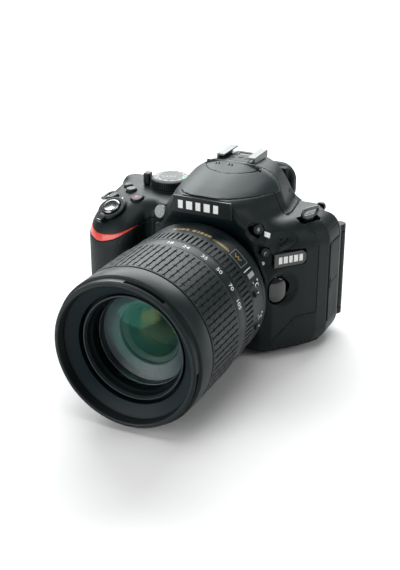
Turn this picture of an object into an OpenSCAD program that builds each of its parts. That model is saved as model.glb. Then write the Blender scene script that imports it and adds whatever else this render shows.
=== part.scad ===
// Single-lens reflex camera with a zoom lens, modelled as separate pieces.
// +Z is up and the lens points along -Y; the origin is the tripod socket's mouth.

/* [Body] */
// Outer side of the hand grip
grip_x = -75; // [-75.5:0.5:-74.5]
// Outer side of the connector side
side_x = 54; // [53.5:0.5:54.5]
// Foremost face of the hand grip
grip_y = -41; // [-41.5:0.5:-40.5]
// Back face of the rear cover
back_y = 18; // [17.9:0.1:18.1]
// Height of the deck that carries the mode dial
deck_z = 72.5; // [72.3:0.1:72.5]
// Wall thickness of the covers
wall = 2.2; // [2:0.1:2.3]

/* [Lens] */
// Height of the lens axis above the base
lens_z = 39; // [38.8:0.1:39.5]
// Radius of the zoom rubber
zoom_r = 37.7; // [37.5:0.1:37.8]
// Distance from the tripod axis forward to the front rim at the wide end
rim_h = 125; // [124:0.5:126]
// Wall radius of the filter thread
filter_r = 33.5; // [33.4:0.1:33.6]

/* [Mounts] */
// Wall radius of the tripod socket's thread
tripod_r = 2.55; // [2.5:0.05:2.6]
// Depth of the tripod socket
tripod_depth = 8; // [7:0.5:8.5]
// Width of the accessory shoe's slot
shoe_slot_w = 18.7; // [18.6:0.1:18.8]

/* [Hidden] */
$fn = 48;
e = 0.01;
base_t = 3;
seam_z = 65;
cap_z = 54;
split_y = 10.5;
flange_h = 36;
gap = 0.3;
body_black = "#17191b";
rubber_black = "#101112";
mid_grey = "#3a3e41";
chrome = "#c9cdd0";
red = "#c8382f";
glass_blue = "#56707e";

// Hood (flash) split plane: its low end and its tilt
hood_y = -4.9;
hood_z = 83;
hood_tilt = -7.2;
flash_pivot = [0, -6.4, 94];
// Reflex mirror hinge
mirror_pivot = [0, -2, 52.5];
mirror_len = 26;
// Monitor hinge axis
monitor_axis = [49.6, 22, 0];
monitor_left = -30;
monitor_right = 45.6;
// Mode dial
dial_c = [-41.4, 3.8, 73.2];
dial_r = 10.6;
dial_h = 5.2;
// Shutter button: place and tilt of its axis
shutter_c = [-60, -28, 67];
shutter_tilt = [27, -8, 0];
// Top buttons: place, tilt, radius
movie_b = [[-50, -19, 71.6], [14, 0, 0], 3.3];
info_b = [[-57.9, -10.7, 72.5], [4, -2, 0], 2.8];
exposure_b = [[-65.2, -17.7, 69.8], [14, -16, 0], 2.8];
drive_b = [[-63, -5, 72.3], [2, -8, 0], 2.4];
// Front buttons and lamp
flash_b = [[25.4, -32.2, 71.4], [90, 0, 36], 2.7];
fn_b = [[30, -33.4, 60.2], [90, 0, 34], 2.4];
lamp_b = [[-33, -24.6, 68.8], [72, 0, -14], 3.5];
release_c = [37.6, -27.05, 39];
front_turn = 49.7;
badge_c = [39.7, -24.55, 55.6];
// Rear buttons: x and z on the back face, radius
menu_b = [[40, back_y, 69], [-90, 0, 0], 2.6];
play_b = [[-40, back_y, 57], [-90, 0, 0], 3];
zoom_b = [[-40, back_y, 15], [-90, 0, 0], 3];
delete_b = [[-62, back_y, 15], [-90, 0, 0], 3];
selector_c = [-52, back_y, 37];
command_c = [-60, 11.6, 64];

// Arc of outline points, each with the direction that points into the body
function arc(cx, cy, r, a0, a1, n) = [for (i = [0:n])
    let (a = a0 + (a1 - a0) * i / n) [cx + r * cos(a), cy + r * sin(a), -cos(a), -sin(a)]];
outline = concat(
    arc(side_x - 6, back_y - 6, 6, 0, 90, 6),
    arc(grip_x + 8, back_y - 8, 8, 90, 180, 8),
    arc(grip_x + 14, grip_y + 14, 14, 180, 270, 12),
    arc(-54, grip_y + 11, 11, 270, 360, 9),
    [[-42, -26, -0.8, 0.6], [-38, -24, 0, 1], [-34, -27, 0.6, 0.8], [-31, -34, 0.4, 1]],
    [[28, -34, -0.2, 1], [33.8, -31.5, -0.6, 0.8], [45.6, -17.6, -0.76, 0.65]],
    [[50.5, -11, -0.8, 0.6], [side_x, -4, -1, 0.1]]);
deck_outline = concat(
    arc(side_x - 8, back_y - 8, 8, 0, 90, 6),
    [[-60, back_y, 0, -1], [-60, -14, 0, 1], [-46, -20, 0.3, 0.9], [-33, -25, 0.3, 0.9]],
    [[-18, -31, 0.2, 1], [18, -33, -0.1, 1], [33.8, -31.5, -0.6, 0.8]],
    [[45.6, -17.6, -0.76, 0.65], [50.5, -11, -0.8, 0.6], [side_x, -4, -1, 0.1]]);

function inset(points, t) = [for (p = points) [p[0] + t * p[2], p[1] + t * p[3]]];
function corner(cx, cy, r, a0) = [for (i = [0:5]) let (a = a0 + i * 18) [cx + r * cos(a), cy + r * sin(a)]];
function round_box(x0, y0, x1, y1, r) = concat(
    corner(x1 - r, y1 - r, r, 0), corner(x0 + r, y1 - r, r, 90),
    corner(x0 + r, y0 + r, r, 180), corner(x1 - r, y0 + r, r, 270));

// Straight prism on an outline between two heights
module prism(points, z0, z1) {
    translate([0, 0, z0]) linear_extrude(z1 - z0) polygon(points);
}

// Box given by its two corners
module box(a, b) {
    translate(a) cube(b - a);
}

// Shape drawn in X and Z, extruded along Y between y0 and y1
module slab_y(points, y0, y1) {
    translate([0, y1, 0]) rotate([90, 0, 0]) linear_extrude(y1 - y0) polygon(points);
}

// Shape drawn in Y and Z, extruded along X to both sides
module slab_x(points, half) {
    translate([-half, 0, 0]) rotate([90, 0, 90]) linear_extrude(2 * half) polygon(points);
}

// Turned part on the lens axis; the profile is radius and distance forward
module turned(profile) {
    translate([0, 0, lens_z]) rotate([90, 0, 0]) rotate_extrude($fn = 96) polygon(profile);
}

// Cylinder on the lens axis between two distances forward
module lens_cylinder(r, h0, h1) {
    translate([0, -h0, lens_z]) rotate([90, 0, 0]) cylinder(r = r, h = h1 - h0, $fn = 96);
}

// Ring on the lens axis
module lens_ring(r_out, r_in, h0, h1) {
    turned([[r_in, h0], [r_out, h0], [r_out, h1], [r_in, h1]]);
}

// Cylinder on a button's axis, from below its seat to above it
module at_button(b, r, z0, z1) {
    translate(b[0]) rotate(b[1]) translate([0, 0, z0]) cylinder(r = r, h = z1 - z0);
}

// Round button with a bevelled rim, standing proud of its seat
module round_button(b, proud) {
    r = b[2];
    translate(b[0]) rotate(b[1]) rotate_extrude()
        polygon([[0, -1.8], [r, -1.8], [r, proud - 0.4], [r - 0.4, proud], [0, proud]]);
}

// Everything above the hood's split plane, in front of its low end
module above_hood_plane(lift) {
    translate([-60, hood_y, hood_z + lift]) rotate([hood_tilt, 0, 0])
        translate([0, -60, 0]) cube([120, 60, 40]);
}

// One cross-section of the prism hump, drawn in X and Z
module hump_section(y, top_z, top_w, mid_z, mid_w, low_z, low_w) {
    slab_y([[low_w, low_z], [mid_w, mid_z], [top_w, top_z], [-top_w, top_z], [-mid_w, mid_z],
        [-low_w, low_z]], y, y + e);
}

// Prism hump and flash hood as one form; t moves every face inwards
module hump(t) {
    hull() {
        hump_section(-42.8 + t, 87.8 - t, 15.5 - t, 86 - t, 17.2 - t, 77.4 + t, 17.8 - t);
        hump_section(-33.9 + t, 90 - t, 14.5 - t, 84.5 - t, 21.5 - t, seam_z, 29 - t);
        hump_section(-25, 91.8 - t, 14.5 - t, 83.7 - t, 24.3 - t, seam_z, 30 - t);
        hump_section(-5, 95.5 - t, 15.3 - t, hood_z, 27.5 - t, seam_z, 31 - t);
        hump_section(back_y - t, 93.8 - t, 12 - t, 83 - t, 22 - t, seam_z, 29 - t);
    }
}

// Cap over the grip, drawn as a hull of balls under the deck
module grip_cap(t) {
    hull() {
        translate([grip_x + 9, 5, 61.5]) sphere(r = 9 - t, $fn = 32);
        translate([grip_x + 9, -15, 60.5]) sphere(r = 9 - t, $fn = 32);
        translate([grip_x + 14, grip_y + 14, 53]) sphere(r = 14 - t, $fn = 32);
        translate([-54, grip_y + 11, 55]) sphere(r = 11 - t, $fn = 32);
        translate([-64, -13, deck_z - t - e]) cube([20, 26, e]);
        translate([grip_x + t, -10, cap_z - 6]) cube([20, back_y - 8 + 10 - t, e]);
    }
}

// Band of a given thickness on the outline of the hand grip
module grip_skin(t0, t1, z0, z1) {
    intersection() {
        difference() {
            prism(inset(outline, t0), z0, z1);
            prism(inset(outline, t1), z0 - 1, z1 + 1);
        }
        box([-90, -60, z0], [-43.4, -15.5, z1]);
    }
}

// Tilted slab that gives the accent strip its slope across the grip
module accent_slab(grow) {
    translate([-62, -38, 53.2]) rotate([15, -24.9, 0])
        translate([-40, -40, -1.5 - grow]) cube([80, 80, 3 + 2 * grow]);
}

// Openings in the body for the controls; slack is the gap around each
module control_holes(slack) {
    for (b = [movie_b, info_b, exposure_b, drive_b])
        at_button(b, b[2] + slack, -6, 8);
    at_button([shutter_c, shutter_tilt], 5 + slack, -7, 8);
    at_button([shutter_c, shutter_tilt], 11.4, -0.8, 12);
    for (b = [flash_b, fn_b, menu_b, play_b, zoom_b, delete_b])
        at_button(b, b[2] + slack, -5, 6);
    at_button(lamp_b, lamp_b[2], -4, 6);
    translate(dial_c) translate([0, 0, -14]) cylinder(r = 3.3, h = 20);
    translate(dial_c) translate([0, 0, -0.7]) cylinder(r = 12, h = 7);
    translate(command_c) translate([0, 0, -0.4]) cylinder(r = 9.4, h = 6.8);
    translate(selector_c) rotate([90, 0, 0]) translate([0, 0, -3]) cylinder(r = 7, h = 8);
}

// Opening and shallow dish for the lens-release button
module release_hole() {
    translate(release_c) rotate([90, 0, front_turn]) {
        for (s = [-2, 2]) translate([0, s, -6]) cylinder(r = 5.1 + gap, h = 12);
        translate([-5.1 - gap, -2, -6]) cube([10.2 + 2 * gap, 4, 12]);
    }
}

module front_cover() {
    color(body_black) difference() {
        intersection() {
            prism(inset(outline, 0), base_t, seam_z);
            box([-100, -100, 0], [100, split_y, 100]);
        }
        prism(inset(outline, wall), base_t - 1, seam_z + 1);
        box([-100, -100, cap_z], [-43, split_y + 1, 100]);
        grip_skin(-1, 1.1, 5, 50.5);
        intersection() {
            accent_slab(0.02);
            grip_skin(-1, 1.1, 44, cap_z + 1);
        }
        lens_cylinder(24.2, 28, 40);
        release_hole();
        control_holes(gap);
        box([grip_x - 1, -14.3, 15.7], [grip_x + 1.9, 10.2, 50.3]);
        box([grip_x - 1, -12, 19], [grip_x + 4, 9.8, 47]);
        box([side_x - 1.6, -3.8, 13.7], [side_x + 1, 10.3, 58.3]);
        translate(badge_c) rotate([0, 0, front_turn]) box([-9.4, -2, -4], [9.4, 0.6, 4]);
    }
}

module rear_cover() {
    color(body_black) {
        difference() {
            intersection() {
                prism(inset(outline, 0), base_t, seam_z);
                box([-100, split_y, 0], [100, 100, 100]);
            }
            prism(inset(outline, wall), base_t - 1, seam_z + 1);
            control_holes(gap);
        }
        // Fixed knuckles of the monitor hinge, with their pins
        for (z = [[8, 11.7], [56.3, 60]]) {
            translate([monitor_axis[0], monitor_axis[1], z[0]]) cylinder(r = 3.2, h = z[1] - z[0]);
            box([47.6, back_y - 1, z[0]], [51.6, monitor_axis[1], z[1]]);
        }
        translate([monitor_axis[0], monitor_axis[1], 11]) cylinder(r = 1.3, h = 4);
        translate([monitor_axis[0], monitor_axis[1], 53]) cylinder(r = 1.3, h = 4);
    }
}

module bottom_plate() {
    color(body_black) {
        difference() {
            union() {
                prism(inset(outline, 3), 0, 1.5);
                prism(inset(outline, 1), 1.4, base_t);
            }
            cylinder(r = 5, h = 20, center = true);
            box([-80, -60, -1], [-51.4, 9.4, 10]);
        }
        // Fixed knuckle of the battery door
        translate([-53, -24.5, 1.4]) rotate([-90, 0, 0]) cylinder(r = 1.1, h = 24);
        box([-53, -24.5, 0.3], [-51.3, -0.5, 2.5]);
    }
}

module top_cover() {
    color(body_black) difference() {
        union() {
            hull() {
                prism(inset(deck_outline, 0), seam_z, seam_z + 1);
                prism(inset(deck_outline, 1.5), 69.5, 69.6);
                prism(inset(deck_outline, 6), deck_z - e, deck_z);
            }
            intersection() {
                grip_cap(0);
                union() {
                    box([-100, -100, cap_z], [-43, split_y, 100]);
                    box([-100, -100, seam_z], [-30, back_y, 100]);
                }
            }
            hump(0);
            slab_y(round_box(-17, 65, 17, 84.5, 4), 10, 24);
        }
        prism(inset(deck_outline, wall), seam_z - 1, deck_z - wall);
        intersection() {
            grip_cap(wall);
            box([-100, -100, 0], [-30, back_y - wall, deck_z - wall]);
        }
        hump(2);
        above_hood_plane(-gap);
        // Seat of the accessory shoe
        box([-11, -3.6, 93.6], [11, 30, 110]);
        // Viewfinder tunnel
        box([-10, -10, 70], [10, 30, 82]);
        control_holes(gap);
        at_button([[-33, -24.6, 68.8], lamp_b[1]], lamp_b[2] + 0.9, 0.4, 12);
        lens_cylinder(24.2, 28, 40);
        // Seat of the mount ring
        lens_cylinder(29.6, flange_h - 2, flange_h + 4);
        // Room for the lamp box under the front of the hood
        box([-14.2, -40.5, 85], [14.2, -34, 90]);
        // Slide of the dioptre adjuster
        box([-17.2, 19.5, 72], [-15.5, 22.5, 81]);
        for (p = [lug_left, lug_right]) lug_pocket(p);
    }
    // Hinge ears of the flash hood
    color(body_black) for (s = [-1, 1]) difference() {
        translate([s * 13.9, 0, 0]) rotate([90, 0, 90]) translate([0, 0, -1.4])
            linear_extrude(2.8) polygon([[-7.3, 93], [-3.7, 91], [-3.7, 95.4], [-7.3, 95.4]]);
        translate([s * 14 - 5, flash_pivot[1], flash_pivot[2]]) rotate([0, 90, 0])
            cylinder(r = 0.87, h = 10);
    }
}

module flash_head() {
    color(mid_grey) {
        difference() {
            intersection() {
                hump(0);
                above_hood_plane(0);
                box([-60, -60, 80], [60, -5.2, 100]);
            }
            hump(1.8);
            // Rear top edge stops at the knuckle so that it clears the lip
            box([-60, flash_pivot[1], 92.6], [60, 0, 100]);
            // Room for the fixed hinge ears
            for (s = [-1, 1])
                box([s * 14.2 - 2, -8.2, 90], [s * 14.2 + 2, -4, 100]);
        }
        // Lamp box under the front of the hood, with its window face slanted down
        slab_x([[-39.6, 86.6], [-39.6, 85.8], [-31.5, 80.5], [-30, 87.8]], 13.5);
        box([-13, -33, 85], [13, -29, 90.2]);
        // Knuckle and its pins
        translate([-11.9, flash_pivot[1], flash_pivot[2]]) rotate([0, 90, 0]) cylinder(r = 1.3, h = 23.8);
        translate([-14.6, flash_pivot[1], flash_pivot[2]]) rotate([0, 90, 0]) cylinder(r = 0.8, h = 29.2);
    }
}

module name_plate() {
    color(body_black) slab_y([[16.4, 78.3], [15.6, 87], [-15.6, 87], [-16.4, 78.3]], -44, -42.8);
}

module badge_plate() {
    color(mid_grey) translate(badge_c) rotate([0, 0, front_turn])
        slab_y(round_box(-9.2, -3.8, 9.2, 3.8, 1.2), -0.9, 0.5);
}

module grip_rubber() {
    color(rubber_black) difference() {
        grip_skin(0, 1.1, 5, 50.5);
        intersection() {
            accent_slab(0.02);
            grip_skin(-1, 2, 44, 56);
        }
        box([grip_x - 1, -15.5, 15.5], [grip_x + 3, 12, 50.5]);
    }
}

module accent_strip() {
    color(red) intersection() {
        accent_slab(0);
        grip_skin(0, 1.1, 44, cap_z);
    }
}

// Places of the two strap lugs
lug_right = [[42, -6, 71.2], [0, 18, -28]];
lug_left = [[-72.6, -5, 66.4], [0, -52, 4]];

// Foot of a strap lug, sunk in the cover
module lug_foot(p, slack) {
    translate(p[0]) rotate(p[1]) translate([-1.1 - slack, -2.5 - slack, -3])
        cube([2.2 + 2 * slack, 5 + 2 * slack, 4]);
}

// Pocket that the loop of a strap lug stands in
module lug_pocket(p) {
    lug_foot(p, 0);
    translate(p[0]) rotate(p[1]) translate([-1.5, -6.6, -0.1]) cube([3, 13.2, 8]);
}

module strap_lugs() {
    color(chrome) for (p = [lug_left, lug_right]) {
        lug_foot(p, 0);
        translate(p[0]) rotate(p[1]) translate([-1, 0, 3.7]) rotate([90, 0, 90]) linear_extrude(2)
            difference() {
                polygon(round_box(-6, -3.4, 6, 3.4, 3.2));
                polygon(round_box(-4.2, -1.7, 4.2, 1.7, 1.6));
            }
    }
}

module hot_shoe() {
    half = shoe_slot_w / 2;
    color(chrome) {
        box([-10.7, -3.4, 93.6], [10.7, 14, 94.4]);
        for (s = [0, 1]) mirror([s, 0, 0]) {
            box([half, -3.4, 93.6], [10.7, 14, 97.4]);
            box([6.3, -3.4, 96.5], [10.7, 14, 97.4]);
        }
    }
}

module eyecup() {
    color(rubber_black) difference() {
        union() {
            slab_y(round_box(-19, 63.5, 19, 85.2, 6), 24, 27);
            slab_y(round_box(-20.5, 63.2, 20.5, 85.6, 7), 27, 33.5);
        }
        slab_y(round_box(-11.5, 69, 11.5, 82.5, 4), 23, 28);
        slab_y(round_box(-13.5, 67, 13.5, 83.4, 5), 27.9, 34);
    }
}

module diopter_slider() {
    color(rubber_black) {
        box([-19.4, 18.9, 74.8], [-17.2, 23.1, 78.2]);
        box([-17.3, 19.8, 75], [-15.8, 22.2, 78]);
    }
}

module eyepiece_lens() {
    color(glass_blue) intersection() {
        box([-9.9, 20, 70.1], [9.9, 23.6, 81.9]);
        translate([0, -16.8, 76]) sphere(r = 40.2, $fn = 240);
    }
}

module pentamirror() {
    color(mid_grey) slab_x([[-29, 56.8], [-3, 56.8], [0, 63], [0, 76], [-9, 84], [-27, 79]], 15);
}

module focusing_screen() {
    color(glass_blue) box([-14.5, -29.5, 55], [14.5, -3, 56.4]);
}

module mirror_box() {
    color(rubber_black) difference() {
        box([-20, -30.8, 18], [20, -1, 55]);
        box([-15.5, -29, 22], [15.5, 1.6, 53.9]);
        box([-13.5, -28.5, 50], [13.5, -4, 60]);
        lens_cylinder(17, 20, 40);
        // Bearings of the mirror's axle
        translate(mirror_pivot) rotate([0, 90, 0]) cylinder(r = 0.95, h = 36, center = true);
    }
}

module reflex_mirror() {
    color(chrome) translate(mirror_pivot) rotate([45, 0, 0]) {
        box([-12.5, -mirror_len, -0.7], [12.5, -0.8, 0.7]);
        rotate([0, 90, 0]) cylinder(r = 0.9, h = 34, center = true);
    }
}

module shutter_unit() {
    color(mid_grey) {
        difference() {
            box([-28, -0.7, 20], [28, 4.4, 57]);
            box([-12.5, -2, 30.5], [12.5, 6, 47.5]);
            box([-15.5, -1, 48], [15.5, 1, 54.5]);
        }
        // Closed blades
        for (i = [0:3]) box([-12.6, 1.4 + 0.3 * i, 30.4 + 4.2 * i], [12.6, 1.7 + 0.3 * i, 35 + 4.2 * i]);
    }
}

module image_sensor() {
    color(glass_blue) {
        box([-18, 10.5, 25], [18, 12.2, 53]);
        box([-12.5, 9.4, 30.5], [12.5, 10.6, 47.5]);
    }
}

module main_board() {
    color("darkgreen") {
        box([-48, 13.2, 8], [44, 14.6, 60]);
        for (p = [[-36, 20], [-34, 44], [26, 22], [28, 44]])
            box([p[0], 12.2, p[1]], [p[0] + 10, 13.3, p[1] + 10]);
    }
}

module battery() {
    color(mid_grey) box([-69.5, -33, 4], [-55.5, 4.8, 52]);
}

module battery_door() {
    color(body_black) {
        intersection() {
            prism(inset(outline, 1.2), 0.3, 2.5);
            difference() {
                box([-80, -60, 0], [-53.6, 8.9, 3]);
                box([-54.4, -24.8, -1], [-50, -0.2, 4]);
            }
        }
        // Hinge barrels
        for (y = [-29.9, -0.1]) translate([-53, y, 1.4]) rotate([-90, 0, 0]) cylinder(r = 1.1, h = 5);
    }
}

module memory_card() {
    color("#2a4a7a") box([-72.4, 6.5, 21], [-40.4, 8.6, 45]);
}

module card_door() {
    color(body_black) {
        box([grip_x, -14, 16], [grip_x + 1.7, 8.4, 50]);
        translate([grip_x + 0.9, 9, 17]) cylinder(r = 0.85, h = 32);
    }
}

module port_cover() {
    color(rubber_black) box([side_x - 1.4, -3.5, 14], [side_x, 10, 58]);
}

module tripod_socket() {
    color(chrome) difference() {
        cylinder(r = 5, h = 10);
        translate([0, 0, -1]) cylinder(r = tripod_r, h = tripod_depth + 1);
    }
}

module mode_dial() {
    color(mid_grey) translate(dial_c) difference() {
        union() {
            cylinder(r = dial_r, h = dial_h - 0.5);
            cylinder(r = dial_r - 0.7, h = dial_h);
            translate([0, 0, -7]) cylinder(r = 3, h = 8);
        }
        // Knurl
        for (i = [0:29]) rotate([0, 0, i * 12]) translate([dial_r + 0.25, 0, 0.5])
            cylinder(r = 0.6, h = 3.4, $fn = 16);
    }
}

module live_view_lever() {
    color(body_black) translate(dial_c) difference() {
        union() {
            translate([0, 0, -0.65]) cylinder(r = 11.6, h = 0.45);
            rotate([0, 0, 8]) box([-15.2, -2.6, -0.65], [-11.1, 2.6, 5.8]);
        }
        translate([0, 0, -1]) cylinder(r = 3.4, h = 2);
    }
}

module command_dial() {
    color(rubber_black) translate(command_c) difference() {
        cylinder(r = 9, h = 6);
        for (i = [0:23]) rotate([0, 0, i * 15]) translate([9.2, 0, 0.6])
            cylinder(r = 0.6, h = 4.8, $fn = 16);
    }
}

module shutter_button() {
    color(chrome) translate(shutter_c) rotate(shutter_tilt) rotate_extrude()
        polygon([[0, -4], [4.9, -4], [4.9, 2], [4.3, 2.6], [2.4, 2.45], [0, 2.3]]);
}

module power_switch() {
    color(body_black) translate(shutter_c) rotate(shutter_tilt) difference() {
        union() {
            translate([0, 0, -0.5]) cylinder(r = 7.7, h = 1.9);
            rotate([0, 0, -20]) box([-2.2, -10.8, -0.5], [2.2, -6, 2]);
        }
        translate([0, 0, -2]) cylinder(r = 5.2, h = 6);
    }
}

module lens_release() {
    color(body_black) translate(release_c) rotate([90, 0, front_turn]) {
        for (s = [-2, 2]) translate([0, s, -3]) cylinder(r = 5.1, h = 4.2);
        box([-5.1, -2, -3], [5.1, 2, 1.2]);
    }
}

module multi_selector() {
    color(body_black) translate(selector_c) rotate([-90, 0, 0]) difference() {
        union() {
            translate([0, 0, 0.7]) cylinder(r = 9.3, h = 1.5);
            translate([0, 0, -1.6]) cylinder(r = 6, h = 3);
        }
        translate([0, 0, -3]) cylinder(r = 3.9, h = 8);
    }
}

module ok_button() {
    color(body_black) translate(selector_c) rotate([-90, 0, 0]) translate([0, 0, -1]) cylinder(r = 3.5, h = 3);
}

module monitor_hinge() {
    color(body_black) difference() {
        union() {
            translate([monitor_axis[0], monitor_axis[1], 12]) cylinder(r = 3.2, h = 44);
            box([monitor_right + 0.4, 19.2, 20], [monitor_axis[0], 24.8, 48]);
            translate([42.6, monitor_axis[1], 34]) rotate([0, 90, 0]) cylinder(r = 2, h = 6);
        }
        translate([monitor_axis[0], monitor_axis[1], 10]) cylinder(r = 1.37, h = 6);
        translate([monitor_axis[0], monitor_axis[1], 52]) cylinder(r = 1.37, h = 6);
    }
}

module monitor_panel() {
    color(body_black) difference() {
        slab_y(round_box(monitor_left, 6, monitor_right, 61.5, 3), 18.5, 25.5);
        slab_y(round_box(monitor_left + 4, 10, monitor_right - 4, 57.5, 1.5), 24.9, 26);
        translate([42.5, monitor_axis[1], 34]) rotate([0, 90, 0]) cylinder(r = 2.05, h = 6);
    }
}

// Three sectors on the lens axis, used by both halves of the bayonet
module bayonet_sectors(r, h0, h1, width, turn) {
    for (i = [0:2]) intersection() {
        lens_cylinder(r, h0, h1);
        translate([0, 0, lens_z]) rotate([0, i * 120 + turn, 0]) slab_y(
            [[0, 0], [-60 * tan(width / 2), 60], [60 * tan(width / 2), 60]], -h1 - 1, -h0 + 1);
    }
}

module lens_mount() {
    color(chrome) difference() {
        lens_ring(29.5, 22.1, 34, flange_h);
        bayonet_sectors(24, 33, 37, 56, 60);
    }
}

module lens_bayonet() {
    color(chrome) {
        lens_ring(28, 20.4, flange_h, 38);
        lens_ring(21.8, 20.4, 31.4, 36.1);
        bayonet_claws();
    }
}

// Claws behind the body's mount ring
module bayonet_claws() {
    difference() {
        bayonet_sectors(23.7, 31.4, 33.6, 50, 0);
        lens_cylinder(21, 30, 35);
    }
}

module lens_barrel() {
    color(body_black) difference() {
        turned([[26, 38], [31, 38], [33.5, 41], [35.6, 44.5], [36.3, 46.5], [36.3, 61.8], [35.2, 61.8],
            [35.2, 108.6], [33.9, 108.6], [33.9, 48], [26, 44]]);
        for (a = [74, 101]) switch_place(a) box([-2.2, -60.2, 34.9], [2.2, -50.8, 40]);
    }
}

// Turns a shape round the lens axis by an angle from the top
module switch_place(a) {
    translate([0, 0, lens_z]) rotate([0, a, 0]) children();
}

// Slide knob in its slot on the barrel
module switch_knob(a) {
    color(mid_grey) switch_place(a) {
        box([-1.9, -59.9, 35.3], [1.9, -54.9, 36.6]);
        box([-1.5, -58.9, 36.5], [1.5, -55.9, 37.7]);
    }
}

module focus_switch() {
    switch_knob(74);
}

module stabiliser_switch() {
    switch_knob(101);
}

module focus_ring() {
    color(rubber_black) difference() {
        lens_ring(36.9, 35.5, 62.1, 71.6);
        // Ribs between short grooves
        for (i = [0:59]) switch_place(i * 6) box([-0.5, -70.9, 36.4], [0.5, -62.8, 38]);
    }
}

module zoom_ring() {
    color(body_black) {
        lens_ring(37.1, 35.5, 71.9, 80.7);
        lens_ring(36.3, 35.5, 80.6, 109.3);
    }
}

module zoom_rubber() {
    color(rubber_black) difference() {
        lens_ring(zoom_r, 36.3, 80.8, 109.3);
        for (i = [0:71]) switch_place(i * 5) box([-0.35, -108.3, 37.1], [0.35, -81.8, 39]);
    }
}

module inner_barrel() {
    color(body_black) difference() {
        turned([[31.6, 60], [33.6, 60], [33.6, 109.6], [37.4, 109.6], [37.6, 110], [37.6, rim_h - 4.7],
            [36.2, rim_h - 4.3], [35.6, rim_h - 0.6], [35.2, rim_h], [filter_r, rim_h],
            [filter_r, rim_h - 4.5], [31, rim_h - 5.5], [24.5, rim_h - 13], [23.2, rim_h - 13],
            [23.2, rim_h - 20], [31.6, rim_h - 20]]);
        // Hood bayonet slots in the rim
        for (a = [-38, 52, 142, 232]) switch_place(a)
            box([-6, -(rim_h - 1.2), 35], [6, -(rim_h - 3.8), 40]);
    }
}

module front_element() {
    color(glass_blue) intersection() {
        lens_cylinder(23, rim_h - 19.8, rim_h - 9);
        translate([0, -(rim_h - 10.6 - 42), lens_z]) sphere(r = 42, $fn = 96);
    }
}

module rear_element() {
    color(glass_blue) lens_cylinder(20.3, 33.5, 36.8);
}

module aperture_unit() {
    color(mid_grey) difference() {
        lens_ring(33.8, 11, 49, 55);
        for (i = [0:6]) switch_place(i * 360 / 7) box([16, -56, -0.4], [30, -54, 0.4]);
    }
}

module flash_button() { color(mid_grey) round_button(flash_b, 0.9); }
module fn_button() { color(mid_grey) round_button(fn_b, 0.9); }
module movie_button() { color(mid_grey) round_button(movie_b, 0.9); }
module info_button() { color(body_black) round_button(info_b, 1); }
module exposure_button() { color(body_black) round_button(exposure_b, 1); }
module drive_button() { color(body_black) round_button(drive_b, 0.9); }
module menu_button() { color(body_black) round_button(menu_b, 1.1); }
module playback_button() { color(body_black) round_button(play_b, 1.1); }
module zoom_in_button() { color(body_black) round_button(zoom_b, 1.1); }
module delete_button() { color(body_black) round_button(delete_b, 1.1); }
module af_lamp() { color("white") round_button(lamp_b, 0.8); }

front_cover();
top_cover();
rear_cover();
bottom_plate();
grip_rubber();
accent_strip();
name_plate();
badge_plate();
lens_mount();
mirror_box();
reflex_mirror();
focusing_screen();
pentamirror();
eyepiece_lens();
eyecup();
diopter_slider();
shutter_unit();
image_sensor();
main_board();
battery();
battery_door();
memory_card();
card_door();
port_cover();
tripod_socket();
hot_shoe();
flash_head();
flash_button();
fn_button();
lens_release();
af_lamp();
shutter_button();
power_switch();
movie_button();
info_button();
exposure_button();
drive_button();
mode_dial();
live_view_lever();
command_dial();
menu_button();
playback_button();
zoom_in_button();
delete_button();
multi_selector();
ok_button();
monitor_hinge();
monitor_panel();
strap_lugs();
lens_bayonet();
lens_barrel();
focus_ring();
zoom_ring();
zoom_rubber();
inner_barrel();
front_element();
rear_element();
aperture_unit();
focus_switch();
stabiliser_switch();
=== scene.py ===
"""Looks of a single-lens reflex camera with a zoom lens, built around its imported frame.

Shapes are written in millimetres and become metres when a mesh is made. Rounded mouldings are
signed distances (negative inside) that dual contouring turns into meshes with crisp edges; turned
lens parts are grids of rows and columns round the lens axis. +Z is up and the lens points along -Y.
"""
import math

import bpy
import numpy as np
from mathutils import Euler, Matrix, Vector


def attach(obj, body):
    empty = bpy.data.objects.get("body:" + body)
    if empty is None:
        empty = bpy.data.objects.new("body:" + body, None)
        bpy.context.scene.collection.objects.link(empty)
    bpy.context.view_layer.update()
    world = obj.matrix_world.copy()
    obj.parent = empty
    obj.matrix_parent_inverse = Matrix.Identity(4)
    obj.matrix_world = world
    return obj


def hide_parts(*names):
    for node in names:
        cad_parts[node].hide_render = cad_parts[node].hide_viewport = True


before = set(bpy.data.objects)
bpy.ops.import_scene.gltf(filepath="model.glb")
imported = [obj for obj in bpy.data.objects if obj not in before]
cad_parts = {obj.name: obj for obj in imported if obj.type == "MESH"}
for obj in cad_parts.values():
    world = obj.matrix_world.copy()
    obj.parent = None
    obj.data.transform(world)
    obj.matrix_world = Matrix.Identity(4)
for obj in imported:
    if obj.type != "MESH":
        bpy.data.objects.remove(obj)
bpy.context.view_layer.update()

MM = 0.001
COARSE = 1.0

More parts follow.
